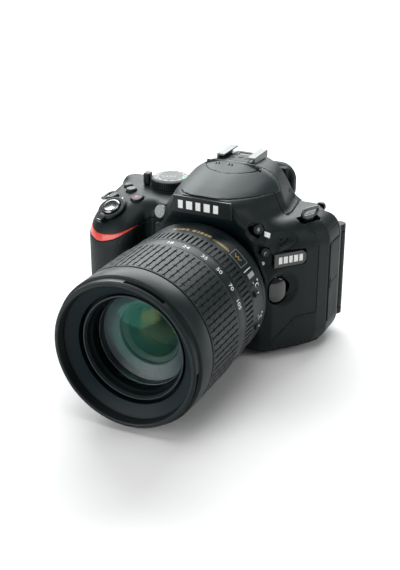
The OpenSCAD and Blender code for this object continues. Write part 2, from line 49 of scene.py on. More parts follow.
# ---------------------------------------------------------------- driving sizes, in millimetres
GRIP_X, SIDE_X, GRIP_Y, BACK_Y = -75.0, 54.0, -41.0, 18.0
DECK_Z, SEAM_Z, BASE_Z, SPLIT_Y = 72.5, 65.0, 3.0, 10.5
WALL = 2.2
LENS_Z = 39.0
HOOD_PLANE = ((0.0, -4.9, 83.0), (-7.2, 0, 0))
DIAL = (-41.4, 3.8, 73.2)
SHUTTER = ((-60.0, -28.0, 67.0), (27, -8, 0))
MOVIE = ((-50.0, -19.0, 71.6), (14, 0, 0), 3.3)
INFO = ((-57.9, -10.7, 72.5), (4, -2, 0), 2.8)
EXPOSURE = ((-65.2, -17.7, 69.8), (14, -16, 0), 2.8)
DRIVE = ((-63.0, -5.0, 72.3), (2, -8, 0), 2.4)
FLASH_BUTTON = ((25.4, -32.2, 71.4), (90, 0, 36), 2.7)
FN_BUTTON = ((30.0, -33.4, 60.2), (90, 0, 34), 2.4)
LAMP = ((-33.0, -24.6, 68.8), (72, 0, -14), 3.5)
RELEASE = ((36.0, -28.9, 38.3), (90, 0, 49.7))
BADGE = ((39.7, -24.55, 55.6), (90, 0, 49.7))
MENU = ((40.0, BACK_Y, 69.0), (-90, 0, 0), 2.6)
PLAYBACK = ((-40.0, BACK_Y, 57.0), (-90, 0, 0), 3.0)
ZOOM_IN = ((-40.0, BACK_Y, 15.0), (-90, 0, 0), 3.0)
DELETE = ((-62.0, BACK_Y, 15.0), (-90, 0, 0), 3.0)
SELECTOR = ((-52.0, BACK_Y, 37.0), (-90, 0, 0))
COMMAND = (-60.0, 11.6, 64.0)
HINGE = (49.6, 22.0)
LUG_PORT = ((42.0, -6.0, 71.2), (0, 18, -28))
LUG_GRIP = ((-71.6, -5.0, 65.6), (0, -104, 4))
SEAM = 0.12
SCREWS = ((-34, -18), (-20, 12), (20, 12), (38, 4), (26, -16), (14, -28), (-22, -28))


# ---------------------------------------------------------------- signed distances
def both(a, b, r=0.0):
    """Where a and b are both inside, with their shared edge rounded to radius r."""
    u, v = np.maximum(a + r, 0), np.maximum(b + r, 0)
    return np.hypot(u, v) - r + np.minimum(np.maximum(a + r, b + r), 0)


def either(a, b, r=0.0):
    """Where a or b is inside, with the corner between them filled to radius r."""
    return -both(-a, -b, r)


def without(a, b, r=0.0):
    return both(a, -b, r)


def melt(a, b, k):
    """Where a and b are both inside, for faces that meet at a shallow angle."""
    h = np.maximum(k - np.abs(a - b), 0) / k
    return np.maximum(a, b) + h * h * k / 4


def flow(a, b, k):
    """Where a or b is inside, with a long fillet."""
    return -melt(-a, -b, k)


def rotation(turn):
    return np.array(Euler([math.radians(t) for t in turn], "XYZ").to_matrix())


def local(p, place):
    """Points in the frame at place: an origin, and turns about X, Y and then Z in degrees."""
    return (p - np.array(place[0])) @ rotation(place[1])


def block(p, low, high, r=0.0):
    low, high = np.array(low, float), np.array(high, float)
    q = np.abs(p - (low + high) / 2) - (high - low) / 2 + r
    return np.linalg.norm(np.maximum(q, 0), axis=1) + np.minimum(q.max(1), 0) - r


def rod(p, r, z0, z1, edge=0.0):
    """Cylinder on the local Z axis."""
    return both(np.hypot(p[:, 0], p[:, 1]) - r, np.abs(p[:, 2] - (z0 + z1) / 2) - (z1 - z0) / 2, edge)


def slot_rod(p, r, stretch, z0, z1, edge=0.0):
    """Cylinder on local Z, stretched to both sides along local Y."""
    y = p[:, 1] - np.clip(p[:, 1], -stretch, stretch)
    return both(np.hypot(p[:, 0], y) - r, np.abs(p[:, 2] - (z0 + z1) / 2) - (z1 - z0) / 2, edge)


def ball(p, centre, r):
    return np.linalg.norm(p - np.array(centre), axis=1) - r


def plane(p, point, normal):
    normal = np.array(normal, float)
    return (p - np.array(point)) @ (normal / np.linalg.norm(normal))


def capsule(p, a, b, r):
    a, b = np.array(a, float), np.array(b, float)
    t = np.clip((p - a) @ (b - a) / ((b - a) @ (b - a)), 0, 1)
    return np.linalg.norm(p - a - t[:, None] * (b - a), axis=1) - r


def polygon(x, y, points):
    """Signed distance to a closed outline."""
    best = np.full(x.shape, 1e9)
    inside = np.zeros(x.shape, bool)
    for (x0, y0), (x1, y1) in zip(points, list(points[1:]) + [points[0]]):
        ex, ey, wx, wy = x1 - x0, y1 - y0, x - x0, y - y0
        t = np.clip((wx * ex + wy * ey) / (ex * ex + ey * ey), 0, 1)
        best = np.minimum(best, (wx - t * ex) ** 2 + (wy - t * ey) ** 2)
        if y0 != y1:
            inside ^= ((y0 > y) != (y1 > y)) & (x < x0 + wy * ex / ey)
    return np.where(inside, -1, 1) * np.sqrt(best)


def arc(cx, cy, r, a0, a1, n=8):
    return [(cx + r * math.cos(math.radians(a0 + (a1 - a0) * i / n)),
             cy + r * math.sin(math.radians(a0 + (a1 - a0) * i / n))) for i in range(n + 1)]


def soften(values, width):
    """Running mean over both axes of a table, twice."""
    kernel = np.ones(width) / width
    for _ in range(2):
        for axis in range(values.ndim):
            pad = [(width // 2, width // 2) if a == axis else (0, 0) for a in range(values.ndim)]
            wide = np.pad(values, pad, mode="edge")
            values = np.apply_along_axis(lambda line: np.convolve(line, kernel, "valid"), axis, wide)
    return values


def smooth_curve(keys, values, width=9):
    """Function through softened straight runs between the keys."""
    s = np.linspace(keys[0] - 6, keys[-1] + 6, 241)
    table = soften(np.interp(s, keys, values), width)
    return lambda t: np.interp(t, s, table)


def ramp(x, a, b):
    t = np.clip((x - a) / (b - a), 0, 1)
    return t * t * (3 - 2 * t)


class Plan:
    """Softened signed distance to the body's outline in plan, read from a table."""

    step = 0.4

    def __init__(self, points, width):
        self.low = np.array([-90.0, -56.0])
        count = (np.array([160, 92]) / self.step).astype(int)
        gx = self.low[0] + self.step * np.arange(count[0])
        gy = self.low[1] + self.step * np.arange(count[1])
        x, y = np.meshgrid(gx, gy, indexing="ij")
        self.table = soften(polygon(x, y, points), width)

    def __call__(self, x, y):
        u = np.clip((x - self.low[0]) / self.step, 0, self.table.shape[0] - 1.001)
        v = np.clip((y - self.low[1]) / self.step, 0, self.table.shape[1] - 1.001)
        i, j = u.astype(int), v.astype(int)
        u, v, t = u - i, v - j, self.table
        return ((t[i, j] * (1 - u) + t[i + 1, j] * u) * (1 - v)
                + (t[i, j + 1] * (1 - u) + t[i + 1, j + 1] * u) * v)


# ---------------------------------------------------------------- dual contouring
BLOCK = 8
CHUNK = 400_000
FAR = 1e3
PULL = 0.08
PROBE = 0.06


def sample(field, points):
    out = np.empty(len(points), np.float32)
    for start in range(0, len(points), CHUNK):
        out[start:start + CHUNK] = field(points[start:start + CHUNK])
    return out


def gradient(field, points, h):
    """Normal direction of the field from four samples round each point, and its slope."""
    arms = np.array([[1, -1, -1], [-1, -1, 1], [-1, 1, -1], [1, 1, 1]], float)
    total = np.zeros_like(points)
    for arm in arms:
        total += sample(field, points + arm * h)[:, None] * arm
    length = np.linalg.norm(total, axis=1, keepdims=True)
    return total / np.maximum(length, 1e-9), length[:, 0] / (4 * h)


def grid_values(field, low, blocks, step):
    """Field on the grid in the blocks that the surface may cross, and plus or minus FAR elsewhere."""
    count = blocks * BLOCK + 1
    middles = [(np.arange(b) + 0.5) * BLOCK * step for b in blocks]
    middles = np.stack(np.meshgrid(*middles, indexing="ij"), -1).reshape(-1, 3) + low
    coarse = sample(field, middles).reshape(blocks)
    spread = coarse.repeat(BLOCK, 0).repeat(BLOCK, 1).repeat(BLOCK, 2)
    values = np.full(count, FAR, np.float32)
    values[:-1, :-1, :-1] = np.sign(spread) * FAR
    near = np.abs(spread) < 1.6 * BLOCK * step
    wanted = np.zeros(count, bool)
    for shift in np.ndindex(2, 2, 2):
        wanted[tuple(slice(c, c + n - 1) for c, n in zip(shift, count))] |= near
    values[wanted] = sample(field, np.argwhere(wanted) * step + low)
    values[values == 0] = 1e-6
    return values


def crossings(values, axis):
    """Grid edges along an axis that the surface cuts, and the field at both of their ends."""
    head, tail = [slice(None)] * 3, [slice(None)] * 3
    head[axis], tail[axis] = slice(0, -1), slice(1, None)
    a, b = values[tuple(head)], values[tuple(tail)]
    known = (np.abs(a) < FAR / 2) & (np.abs(b) < FAR / 2)
    edge = np.argwhere(((a < 0) != (b < 0)) & known)
    for other in {0, 1, 2} - {axis}:
        edge = edge[(edge[:, other] > 0) & (edge[:, other] < values.shape[other] - 1)]
    return edge, a[tuple(edge.T)], b[tuple(edge.T)]


def cells_round(edge, axis, strides):
    """Numbers of the four cells round each grid edge, in turn."""
    u, v = (axis + 1) % 3, (axis + 2) % 3
    four = []
    for du, dv in ((-1, -1), (0, -1), (0, 0), (-1, 0)):
        cell = edge.copy()
        cell[:, u] += du
        cell[:, v] += dv
        four.append(cell @ strides)
    return np.stack(four, 1)


def meeting_points(points, normals, index, total):
    """Point of each cell where the planes through its surface points meet, held near their mean."""
    def gather(values):
        return np.bincount(index, values, minlength=total)
    weight = gather(np.ones(len(index)))
    centre = np.stack([gather(points[:, k]) for k in range(3)], 1) / weight[:, None]
    offset = np.einsum("ij,ij->i", normals, points - centre[index])
    matrix = np.empty((total, 3, 3))
    vector = np.empty((total, 3, 1))
    for i in range(3):
        vector[:, i, 0] = gather(normals[:, i] * offset)
        for j in range(3):
            matrix[:, i, j] = gather(normals[:, i] * normals[:, j])
    matrix += np.eye(3) * PULL
    return centre + np.linalg.solve(matrix, vector)[:, :, 0]


def settle(field, vertices, step):
    """Moves vertices on to the surface, by a third of a cell at most."""
    direction, slope = gradient(field, vertices, step * PROBE)
    away = sample(field, vertices) / np.maximum(slope, 0.3)
    return vertices - direction * np.clip(away, -0.3 * step, 0.3 * step)[:, None]


def contour(field, low, high, step):
    """Vertices and quads of the surface where field is zero, with its sharp edges kept."""
    low = np.array(low, float) - 1.37 * step
    blocks = np.maximum(np.ceil((np.array(high) + 1.5 * step - low) / (step * BLOCK)).astype(int), 1)
    values = grid_values(field, low, blocks, step)
    cells = np.array(values.shape) - 1
    strides = np.array([cells[1] * cells[2], cells[2], 1])
    points, quads = [], []
    for axis in range(3):
        edge, a, b = crossings(values, axis)
        point = edge.astype(float)
        point[:, axis] += a / (a - b)
        points.append(point * step + low)
        four = cells_round(edge, axis, strides)
        four[a > 0] = four[a > 0][:, ::-1]
        quads.append(four)
    points = np.concatenate(points)
    normals, _ = gradient(field, points, step * PROBE)
    names, index = np.unique(np.concatenate(quads).ravel(), return_inverse=True)
    member = np.repeat(np.arange(len(points)), 4)
    vertices = meeting_points(points[member], normals[member], index, len(names))
    floor = np.stack(np.unravel_index(names, cells), 1) * step + low
    vertices = np.clip(vertices, floor, floor + step)
    return settle(field, vertices, step), index.reshape(-1, 4)


# ---------------------------------------------------------------- meshes and pieces
def new_mesh(name, vertices, faces, sharp=38):
    mesh = bpy.data.meshes.new(name)
    vertices = np.asarray(vertices, float) * MM
    if isinstance(faces, np.ndarray):
        mesh.vertices.add(len(vertices))
        mesh.vertices.foreach_set("co", vertices.ravel())
        mesh.loops.add(faces.size)
        mesh.loops.foreach_set("vertex_index", faces.ravel().astype(np.int32))
        mesh.polygons.add(len(faces))
        mesh.polygons.foreach_set("loop_start", np.arange(len(faces), dtype=np.int32) * faces.shape[1])
        mesh.update(calc_edges=True)
    else:
        mesh.from_pydata(vertices.tolist(), [], faces)
    mesh.validate()
    mesh.shade_smooth()
    mesh.set_sharp_from_angle(angle=math.radians(sharp))
    return mesh


def add(mesh, name, body, slot, material, *stands_for):
    """Links a mesh as a piece that rides on a body, and hides the CAD nodes that it stands for."""
    thing = bpy.data.objects.new(name, mesh)
    bpy.context.scene.collection.objects.link(thing)
    for one in (material if isinstance(material, (list, tuple)) else [material]):
        mesh.materials.append(one)
    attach(thing, body)
    if stands_for:
        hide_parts(*stands_for)
    return thing


def mould(name, field, low, high, step, body, slot, material, *stands_for, sharp=38, place=None):
    """Piece whose surface is the zero of a field; with a place, the field and box are local to it."""
    vertices, quads = contour(field, low, high, step * COARSE)
    if place is not None:
        vertices = vertices @ rotation(place[1]).T + np.array(place[0])
    return add(new_mesh(name, vertices, quads, sharp), name, body, slot, material, *stands_for)


def on_lens(r, h, angle):
    """Point at a radius, a distance forward and an angle from the top towards +X."""
    a = np.radians(angle)
    return np.stack([r * np.sin(a), -h + 0 * a, LENS_Z + r * np.cos(a)], -1)


def rounded(profile, r, n=3, closed=True):
    """Outline with each corner cut to a short curve."""
    out = []
    points = [np.array(q, float) for q in profile]
    for i, at in enumerate(points):
        if not closed and i in (0, len(points) - 1):
            out.append(at)
            continue
        a, b = points[i - 1] - at, points[(i + 1) % len(points)] - at
        la, lb = np.linalg.norm(a), np.linalg.norm(b)
        cut = min(r, la * 0.45, lb * 0.45)
        a, b = at + a / la * cut, at + b / lb * cut
        for k in range(n + 1):
            t = k / n
            out.append((1 - t) ** 2 * a + 2 * t * (1 - t) * at + t * t * b)
    return out


def ring_mesh(name, profile, columns, relief=None, centre=on_lens, sharp=38):
    """Ring turned from a closed profile of radius and height, at angles in degrees.

    relief(angle, r, h) gives what is added to the radius of a row."""
    rows = []
    for r, h in profile:
        extra = relief(columns, r, h) if relief else 0.0
        rows.append(centre(r + extra, h + 0 * columns, columns))
    vertices = np.stack(rows)
    n, m = vertices.shape[:2]
    i, j = np.meshgrid(np.arange(n), np.arange(m), indexing="ij")
    k, l = (i + 1) % n, (j + 1) % m
    quads = np.stack([i * m + j, i * m + l, k * m + l, k * m + j], -1).reshape(-1, 4)
    vertices = vertices.reshape(-1, 3)
    corner = vertices[quads]
    side = np.cross(corner[:, 2] - corner[:, 0], corner[:, 3] - corner[:, 1])
    volume = np.einsum("ij,ij->i", corner.mean(1) - vertices.mean(0), side).sum()
    return new_mesh(name, vertices, quads if volume > 0 else quads[:, ::-1].copy(), sharp)


def even(n):
    return np.arange(n) * 360.0 / n


# ---------------------------------------------------------------- materials
def add_node(tree, kind, values=None, links=None, **settings):
    """New shader node with its settings, the values of its inputs and the links to them."""
    node = tree.nodes.new(kind)
    for key, value in settings.items():
        setattr(node, key, value)
    for key, value in (values or {}).items():
        node.inputs[key].default_value = value
    for key, source in (links or {}).items():
        tree.links.new(source, node.inputs[key])
    return node


def stretch(tree, source, low, high):
    """Maps a value between 0 and 1 on to a range."""
    return add_node(tree, "ShaderNodeMapRange", {"To Min": low, "To Max": high},
                    {"Value": source}).outputs["Result"]


def paint(tree, colour, broad, stain, wear):
    """Colour with a broad change of tone and paler worn edges."""
    tone = stretch(tree, broad, 1 - stain, 1 + stain)
    shade = add_node(tree, "ShaderNodeMix", {"Factor": 1, "A": (*colour, 1)}, {"B": tone}, data_type="RGBA",
                     blend_type="MULTIPLY")
    if not wear:
        return shade.outputs["Result"]
    edge = add_node(tree, "ShaderNodeNewGeometry")
    rise = add_node(tree, "ShaderNodeMapRange", {"From Min": 0.53, "From Max": 0.62, "To Max": wear},
                    {"Value": edge.outputs["Pointiness"]})
    pale = [min(1, c * 2.2 + 0.03) for c in colour]
    worn = add_node(tree, "ShaderNodeMix", {"B": (*pale, 1)},
                    {"Factor": rise.outputs["Result"], "A": shade.outputs["Result"]}, data_type="RGBA")
    return worn.outputs["Result"]


def bumps(tree, place, grain, grain_size, leather, leather_size):
    """Normal of a fine grain, with leather scales over it."""
    fine = add_node(tree, "ShaderNodeTexNoise", {"Scale": 1 / (grain_size * MM), "Detail": 2},
                    {"Vector": place})
    grainy = add_node(tree, "ShaderNodeBump", {"Distance": max(grain, 0.001) * MM, "Strength": 1},
                      {"Height": fine.outputs["Fac"]})
    if not leather:
        return grainy.outputs["Normal"]
    scales = add_node(tree, "ShaderNodeTexVoronoi", {"Scale": 1 / (leather_size * MM), "Smoothness": 0.4},
                      {"Vector": place}, feature="SMOOTH_F1")
    hide = add_node(tree, "ShaderNodeBump", {"Distance": leather * MM, "Strength": 1},
                    {"Height": scales.outputs["Distance"], "Normal": grainy.outputs["Normal"]}, invert=True)
    return hide.outputs["Normal"]


def material(name, colour, rough=0.5, metal=0.0, grain=0.0, grain_size=0.3, stain=0.15, coat=0.0,
             specular=0.5, leather=0.0, leather_size=1.1, rough_change=0.08, wear=0.0):
    """Moulded, plated or coated surface: fine grain, broad change of tone, and paler worn edges."""
    made = bpy.data.materials.new(name)
    made.use_nodes = True
    tree = made.node_tree
    shader = tree.nodes["Principled BSDF"]
    fixed = {"Metallic": metal, "Coat Weight": coat, "Coat Roughness": 0.08, "Specular IOR Level": specular}
    for key, value in fixed.items():
        shader.inputs[key].default_value = value
    place = add_node(tree, "ShaderNodeTexCoord").outputs["Object"]
    broad = add_node(tree, "ShaderNodeTexNoise", {"Scale": 45, "Detail": 3},
                     {"Vector": place}).outputs["Fac"]
    links = {"Base Color": paint(tree, colour, broad, stain, wear),
             "Roughness": stretch(tree, broad, rough - rough_change, rough + rough_change)}
    if grain or leather:
        links["Normal"] = bumps(tree, place, grain, grain_size, leather, leather_size)
    for key, source in links.items():
        tree.links.new(source, shader.inputs[key])
    return made


BODY = material("body_plastic", (0.0042, 0.0090, 0.0102), 0.46, grain=0.03, grain_size=0.28, wear=0.2,
                specular=0.2)
HOOD = material("hood_plastic", (0.012, 0.020, 0.023), 0.46, grain=0.03, grain_size=0.25, wear=0.2,
                specular=0.26)
RUBBER = material("grip_rubber", (0.0042, 0.0082, 0.0092), 0.55, specular=0.22, grain=0.03, leather=0.16,
                  leather_size=0.9)
SOFT = material("soft_rubber", (0.0042, 0.0082, 0.0092), 0.6, specular=0.22, grain=0.03, grain_size=0.2)
RED = material("accent_red", (0.62, 0.045, 0.03), 0.34, grain=0.01, coat=0.2, stain=0.06)
GLOSS = material("gloss_black", (0.004, 0.005, 0.0055), 0.16, coat=0.4, stain=0.05, rough_change=0.03)
PLATE = material("plate_black", (0.006, 0.0095, 0.0105), 0.3, specular=0.3, stain=0.05, grain=0.01)
PRINT = material("white_print", (0.78, 0.79, 0.78), 0.5, grain=0.005, stain=0.04)
GREY_PRINT = material("grey_print", (0.3, 0.32, 0.32), 0.5, grain=0.005, stain=0.05)
GOLD = material("gold_print", (0.40, 0.29, 0.11), 0.35, metal=0.6, grain=0.005, stain=0.1)
DARK = material("control_plastic", (0.005, 0.0098, 0.011), 0.38, specular=0.28, grain=0.015, grain_size=0.2,
                wear=0.4)
MID = material("grey_plastic", (0.016, 0.023, 0.025), 0.38, specular=0.3, grain=0.015, grain_size=0.2,
               wear=0.3)
CHROME = material("plated_metal", (0.24, 0.25, 0.25), 0.16, metal=1.0, stain=0.04, rough_change=0.05)
SATIN = material("satin_metal", (0.10, 0.105, 0.105), 0.4, metal=1.0, grain=0.004, grain_size=0.15,
                 stain=0.06)
STEEL = material("brushed_plate", (0.022, 0.025, 0.025), 0.5, metal=0.1, specular=0.2, grain=0.006,
                 grain_size=0.2, stain=0.1)
SILVER = material("silver_face", (0.15, 0.155, 0.15), 0.45, metal=0.4, grain=0.005, grain_size=0.2,
                  stain=0.05)
DIAL_FACE = material("dial_face", (0.03, 0.033, 0.033), 0.45, metal=0.2, grain=0.008, stain=0.08)
GREEN = material("green_patch", (0.10, 0.42, 0.20), 0.4, grain=0.005, stain=0.08)
RED_DOT = material("red_dot", (0.70, 0.07, 0.04), 0.4, grain=0.005, stain=0.08)
LENS = material("lens_plastic", (0.0045, 0.0092, 0.0104), 0.38, specular=0.24, grain=0.02, grain_size=0.22,
                wear=0.4)
LENS_BAND = material("lens_band", (0.0062, 0.0112, 0.0128), 0.4, specular=0.22, grain=0.02, grain_size=0.25,
                     wear=0.4)
RIB = material("lens_rubber", (0.0066, 0.0118, 0.0134), 0.46, specular=0.26, grain=0.02, grain_size=0.2,
               wear=0.25)
INNER = material("baffle_black", (0.0018, 0.0042, 0.0052), 0.5, specular=0.14, grain=0.02, grain_size=0.3)
TEAL = material("baffle_ring", (0.0034, 0.0100, 0.0130), 0.45, specular=0.14, grain=0.015, grain_size=0.3)
VOID = material("deep_black", (0.0015, 0.002, 0.0022), 0.6, grain=0.01)
BOARD = material("solder_mask", (0.01, 0.09, 0.03), 0.4, grain=0.02, grain_size=0.6, stain=0.3)
CELL = material("cell_case", (0.05, 0.052, 0.055), 0.5, grain=0.02)
CARD = material("card_case", (0.02, 0.07, 0.22), 0.45, grain=0.02)
BLADE = material("shutter_blade", (0.05, 0.052, 0.055), 0.4, metal=0.6, grain=0.01, stain=0.2)
MIRROR = material("silvered", (0.9, 0.9, 0.9), 0.05, metal=1.0, stain=0.02, rough_change=0.02)


def glass(name, tint, clear, rough=0.02):
    """Coated glass: a tinted gloss over a surface that lets most light through."""
    made = bpy.data.materials.new(name)
    made.use_nodes = True
    tree = made.node_tree
    tree.nodes.clear()
    place = add_node(tree, "ShaderNodeTexCoord").outputs["Object"]
    smear = add_node(tree, "ShaderNodeTexNoise", {"Scale": 60}, {"Vector": place}).outputs["Fac"]
    dim = [c * 0.8 for c in tint]
    tone = add_node(tree, "ShaderNodeMix", {"A": (*tint, 1), "B": (*dim, 1)}, {"Factor": smear},
                    data_type="RGBA")
    gloss = add_node(tree, "ShaderNodeBsdfGlossy", {"Roughness": rough}, {"Color": tone.outputs["Result"]})
    through = add_node(tree, "ShaderNodeBsdfTransparent")
    facing = add_node(tree, "ShaderNodeLayerWeight", {"Blend": 0.5}).outputs["Facing"]
    mix = add_node(tree, "ShaderNodeMixShader", None, {"Fac": stretch(tree, facing, clear, min(1.0,
                                                                                               clear * 4))})
    tree.links.new(through.outputs["BSDF"], mix.inputs[1])
    tree.links.new(gloss.outputs["BSDF"], mix.inputs[2])
    add_node(tree, "ShaderNodeOutputMaterial", None, {"Surface": mix.outputs["Shader"]})
    return made


COAT_TEAL = glass("coating_teal", (0.18, 0.72, 0.56), 0.015)
COAT_GREEN = glass("coating_green", (0.20, 0.75, 0.40), 0.003)
COAT_AMBER = glass("coating_amber", (0.95, 0.75, 0.20), 0.014)
COAT_VIOLET = glass("coating_violet", (0.35, 0.30, 0.95), 0.03)
COAT_BLUE = glass("coating_blue", (0.30, 0.40, 0.95), 0.05)
WINDOW = glass("window_glass", (0.7, 0.75, 0.78), 0.16)
CELL_RING = material("cell_ring", (0.026, 0.034, 0.046), 0.4, grain=0.01)
LAMP_WHITE = material("lamp_white", (0.22, 0.24, 0.24), 0.12, grain=0.02, leather=0.25, leather_size=1.3)


# ---------------------------------------------------------------- body form
OUTLINE = (arc(SIDE_X - 6, BACK_Y - 6, 6, 0, 90, 6) + arc(GRIP_X + 8, BACK_Y - 8, 8, 90, 180)
           + arc(GRIP_X + 19, GRIP_Y + 19, 19, 180, 270, 12) + arc(-54, GRIP_Y + 11, 11, 270, 350, 9)
           + [(-41.5, -26), (-38, -24), (-34, -26), (-31, -34), (28, -34), (33.8, -31.5), (45.6, -17.6),
              (50.5, -11), (SIDE_X, -4)])
PLAN = Plan(OUTLINE, 3)
HUMP_Y = (-42.8, -33.9, -25, -5, BACK_Y)
TOP_Z = smooth_curve(HUMP_Y, (87.8, 90, 91.8, 95.5, 93.8))
TOP_W = smooth_curve(HUMP_Y, (15.5, 14.5, 14.5, 15.3, 12))
MID_Z = smooth_curve(HUMP_Y, (86, 84.5, 83.7, 83, 83))
MID_W = smooth_curve(HUMP_Y, (17.2, 21.5, 24.3, 27.5, 22))
LOW_Z = smooth_curve(HUMP_Y, (77.4, 65, 65, 65, 65))
LOW_W = smooth_curve(HUMP_Y, (17.8, 29, 30, 31, 29))
RIDGE_LOW = (30.1, -34.0, 45.4)
SHOULDER = (0.554, -0.8025, 0.222)


def hump(p):
    """Prism hump with the flash hood, as one form."""
    x, y, z = np.abs(p[:, 0]), p[:, 1], p[:, 2]
    top_z, top_w, mid_z, mid_w = TOP_Z(y), TOP_W(y), MID_Z(y), MID_W(y)
    du, dz = mid_w - top_w, top_z - mid_z
    upper = ((x - mid_w) * dz + (z - mid_z) * du) / np.hypot(du, dz)
    du, dz = LOW_W(y) - mid_w, mid_z - LOW_Z(y)
    lower = ((x - mid_w) * dz + (z - mid_z) * du) / np.hypot(du, dz)
    side = melt(upper, lower, 5)
    form = melt(side, z - top_z + 0.0022 * x * x, 7)
    form = both(form, -42.8 - y, 1.2)
    form = both(form, plane(p, (0, -42.8, 77.4), (0, -12.4, -8.9)), 1.5)
    form = both(form, y - BACK_Y, 3)
    return np.maximum(form, 58 - z)


def body(p):
    """Outer skin of the whole camera body, before its seams and openings."""
    x, y, z = p.T
    plan = PLAN(x, y)
    top = melt(z - DECK_Z, plane(p, SHUTTER[0], (-0.124, -0.454, 0.882)), 4)
    top = melt(top, plane(p, EXPOSURE[0], (-0.267, -0.242, 0.933)), 4)
    edge = np.interp(x, [-50, -34, 20, 44], [11, 6, 7, 15])
    edge = edge + (5 - edge) * ramp(y, 4, 12) * ramp(x, 46, 38)
    form = both(plan, top, edge)
    form = both(form, plane(p, RIDGE_LOW, SHOULDER) - 200 * (x < 0), 1.0)
    form = both(form, -z, 2.4 + 10 * ramp(x, -30, 0))
    form = either(form, capsule(p, (18.9, -33.6, 73.3), (30.3, -33.5, 45), 1.1), 0.8)
    form = flow(form, hump(p), 6)
    eyepiece = block(p, (-17, 8, 62), (17, 24, 84.5), 4)
    form = either(form, eyepiece, 1.5)
    rest = block(p, (-73, 12, 30), (-58, 20.5, 60), 2.5)
    return either(form, rest, 3)


def seat(p, button, slack=0.3, deep=5.0, dish=1.3):
    """Hole and shallow dish for a round control."""
    q = local(p, button)
    r = button[2]
    hole = rod(q, r + slack, -deep, 8)
    return either(hole, ball(q, (0, 0, 3.0 * r), np.hypot(3.0 * r, r + dish)), 0.2)


def cuts(p):
    """Everything taken out of the skin for the controls."""
    out = rod(local(p, (DIAL, (0, 0, 0))), 11.9, -0.7, 8)
    out = either(out, rod(local(p, (DIAL, (0, 0, 0))), 3.3, -14, 8))
    for button in (MOVIE, INFO, EXPOSURE, DRIVE):
        out = either(out, seat(p, button), 0.2)
    for button in (FLASH_BUTTON, FN_BUTTON):
        out = either(out, seat(p, button, dish=0.4), 0.2)
    for button in (MENU, PLAYBACK, ZOOM_IN, DELETE):
        out = either(out, rod(local(p, button), button[2] + 0.3, -5, 6))
    q = local(p, SHUTTER)
    out = either(out, rod(q, 5.3, -7, 8))
    out = either(out, rod(q, 8.1, -0.8, 9))
    out = either(out, block(local(q, ((0, 0, 0), (0, 0, -4))), (-5.2, -11.6, -0.8), (5.2, -3, 8), 1))
    q = local(p, LAMP)
    out = either(out, either(rod(q, 3.6, -4, 6), rod(q, 4.7, -0.7, 9, 0.3)))
    out = either(out, rod(local(p, (LAMP[0], (72, 0, 14))), 5.4, 0.3, 12, 0.5), 0.4)
    out = either(out, rod(local(p, (COMMAND, (0, 0, 0))), 9.4, -0.4, 6.4))
    out = either(out, rod(local(p, SELECTOR), 7, -3, 8))
    q = local(p, RELEASE)
    out = either(out, slot_rod(q, 5.4, 2, -6, 6))
    out = either(out, ball(q, (1.5, 1.2, 16.4), 19.1), 0.5)
    scoop = both(ball(p, (46.5, -36.0, 66.5), 17.2), plane(p, (38.4, -22, 61.2), (0.3, 0.3, -0.9)), 2.5)
    out = either(out, scoop)
    for lug in (LUG_PORT, LUG_GRIP):
        out = either(out, block(local(p, lug), (-2.6, -6.9, -2.6), (2.6, 6.9, 9), 1.2))
    out = either(out, block(local(p, (BADGE[0], BADGE[1])), (-9.5, -4.1, -2), (9.5, 4.1, 6), 1.4), 0.6)
    for i in range(3):
        for j in range(2):
            hole = (24.5 + 2.2 * i + 0.6 * j, 11.8 - 2.4 * j + 0.8 * i, 60)
            out = either(out, rod(local(p, (hole, (0, 0, 0))), 0.45, 0, 30))
    off_axis = np.hypot(p[:, 0], p[:, 2] - LENS_Z)
    throat = both(off_axis - 24.2, np.abs(p[:, 1] + 34) - 6)
    out = either(out, both(off_axis - 31.8, p[:, 1] + 34.4))
    return either(out, throat)


SMILE = smooth_curve((-75, -69.5, -64, -60, -54, -49.8, -46.2, -43.4, -38, -33, -28),
                     (57.0, 55.0, 54.1, 54.5, 55.9, 57.7, 59.7, 61.4, 64.4, 66, 65), 5)


def over_smile(p):
    """Distance above the middle of the red crescent, which runs on as the seam of the covers."""
    front = ramp(p[:, 1], -13, -20)
    return (p[:, 2] - SEAM_Z - (SMILE(p[:, 0]) - SEAM_Z) * front) * 0.92


def strip_thickness(p):
    """Half thickness of the red crescent across the grip."""
    taper = np.clip((-43.2 - p[:, 0]) / 17, 0, 1) ** 0.7
    return 1.65 * taper * np.clip((-14 - p[:, 1]) / 9, 0, 1)


def strip_bed(p):
    """Room for the red crescent in the covers."""
    band = np.abs(over_smile(p)) - strip_thickness(p) - 0.08
    return np.maximum.reduce([band, p[:, 0] + 43.2, p[:, 1] + 13.4, -(body(p) + 1.7)])


def edge_of(p, r):
    """Radius and gap of a cover's edge: a visible seam on the grip side only."""
    seen = ramp(p[:, 0], -27, -30)
    return r * seen, SEAM * seen


def hood_region(p):
    """Negative where the flash hood is."""
    rear = np.interp(np.abs(p[:, 0]), [12.5, 19], [-4.6, -0.8])
    q = p - np.array(HOOD_PLANE[0])
    tilt = math.radians(HOOD_PLANE[1][0])
    up = q[:, 2] * math.cos(tilt) - q[:, 1] * math.sin(tilt)
    back = p[:, 1] - rear
    return both(-up, back, 6)


def part_line(p):
    """Groove along the seam that arches over the connector-side shoulder."""
    return np.maximum(np.abs(p[:, 1] + 11.0) - 0.28, 19 - p[:, 0])


def skin(p):
    """Body with its openings, and the band behind the shoulder seam set back a little."""
    form = body(p)
    step_back = 0.45 * ((p[:, 1] > -11) & (p[:, 0] > 21) & (hump(p) > 3))
    form = form + step_back
    groove = np.maximum(part_line(p), -(form + 0.55))
    return without(without(form, groove), cuts(p), 0.25)


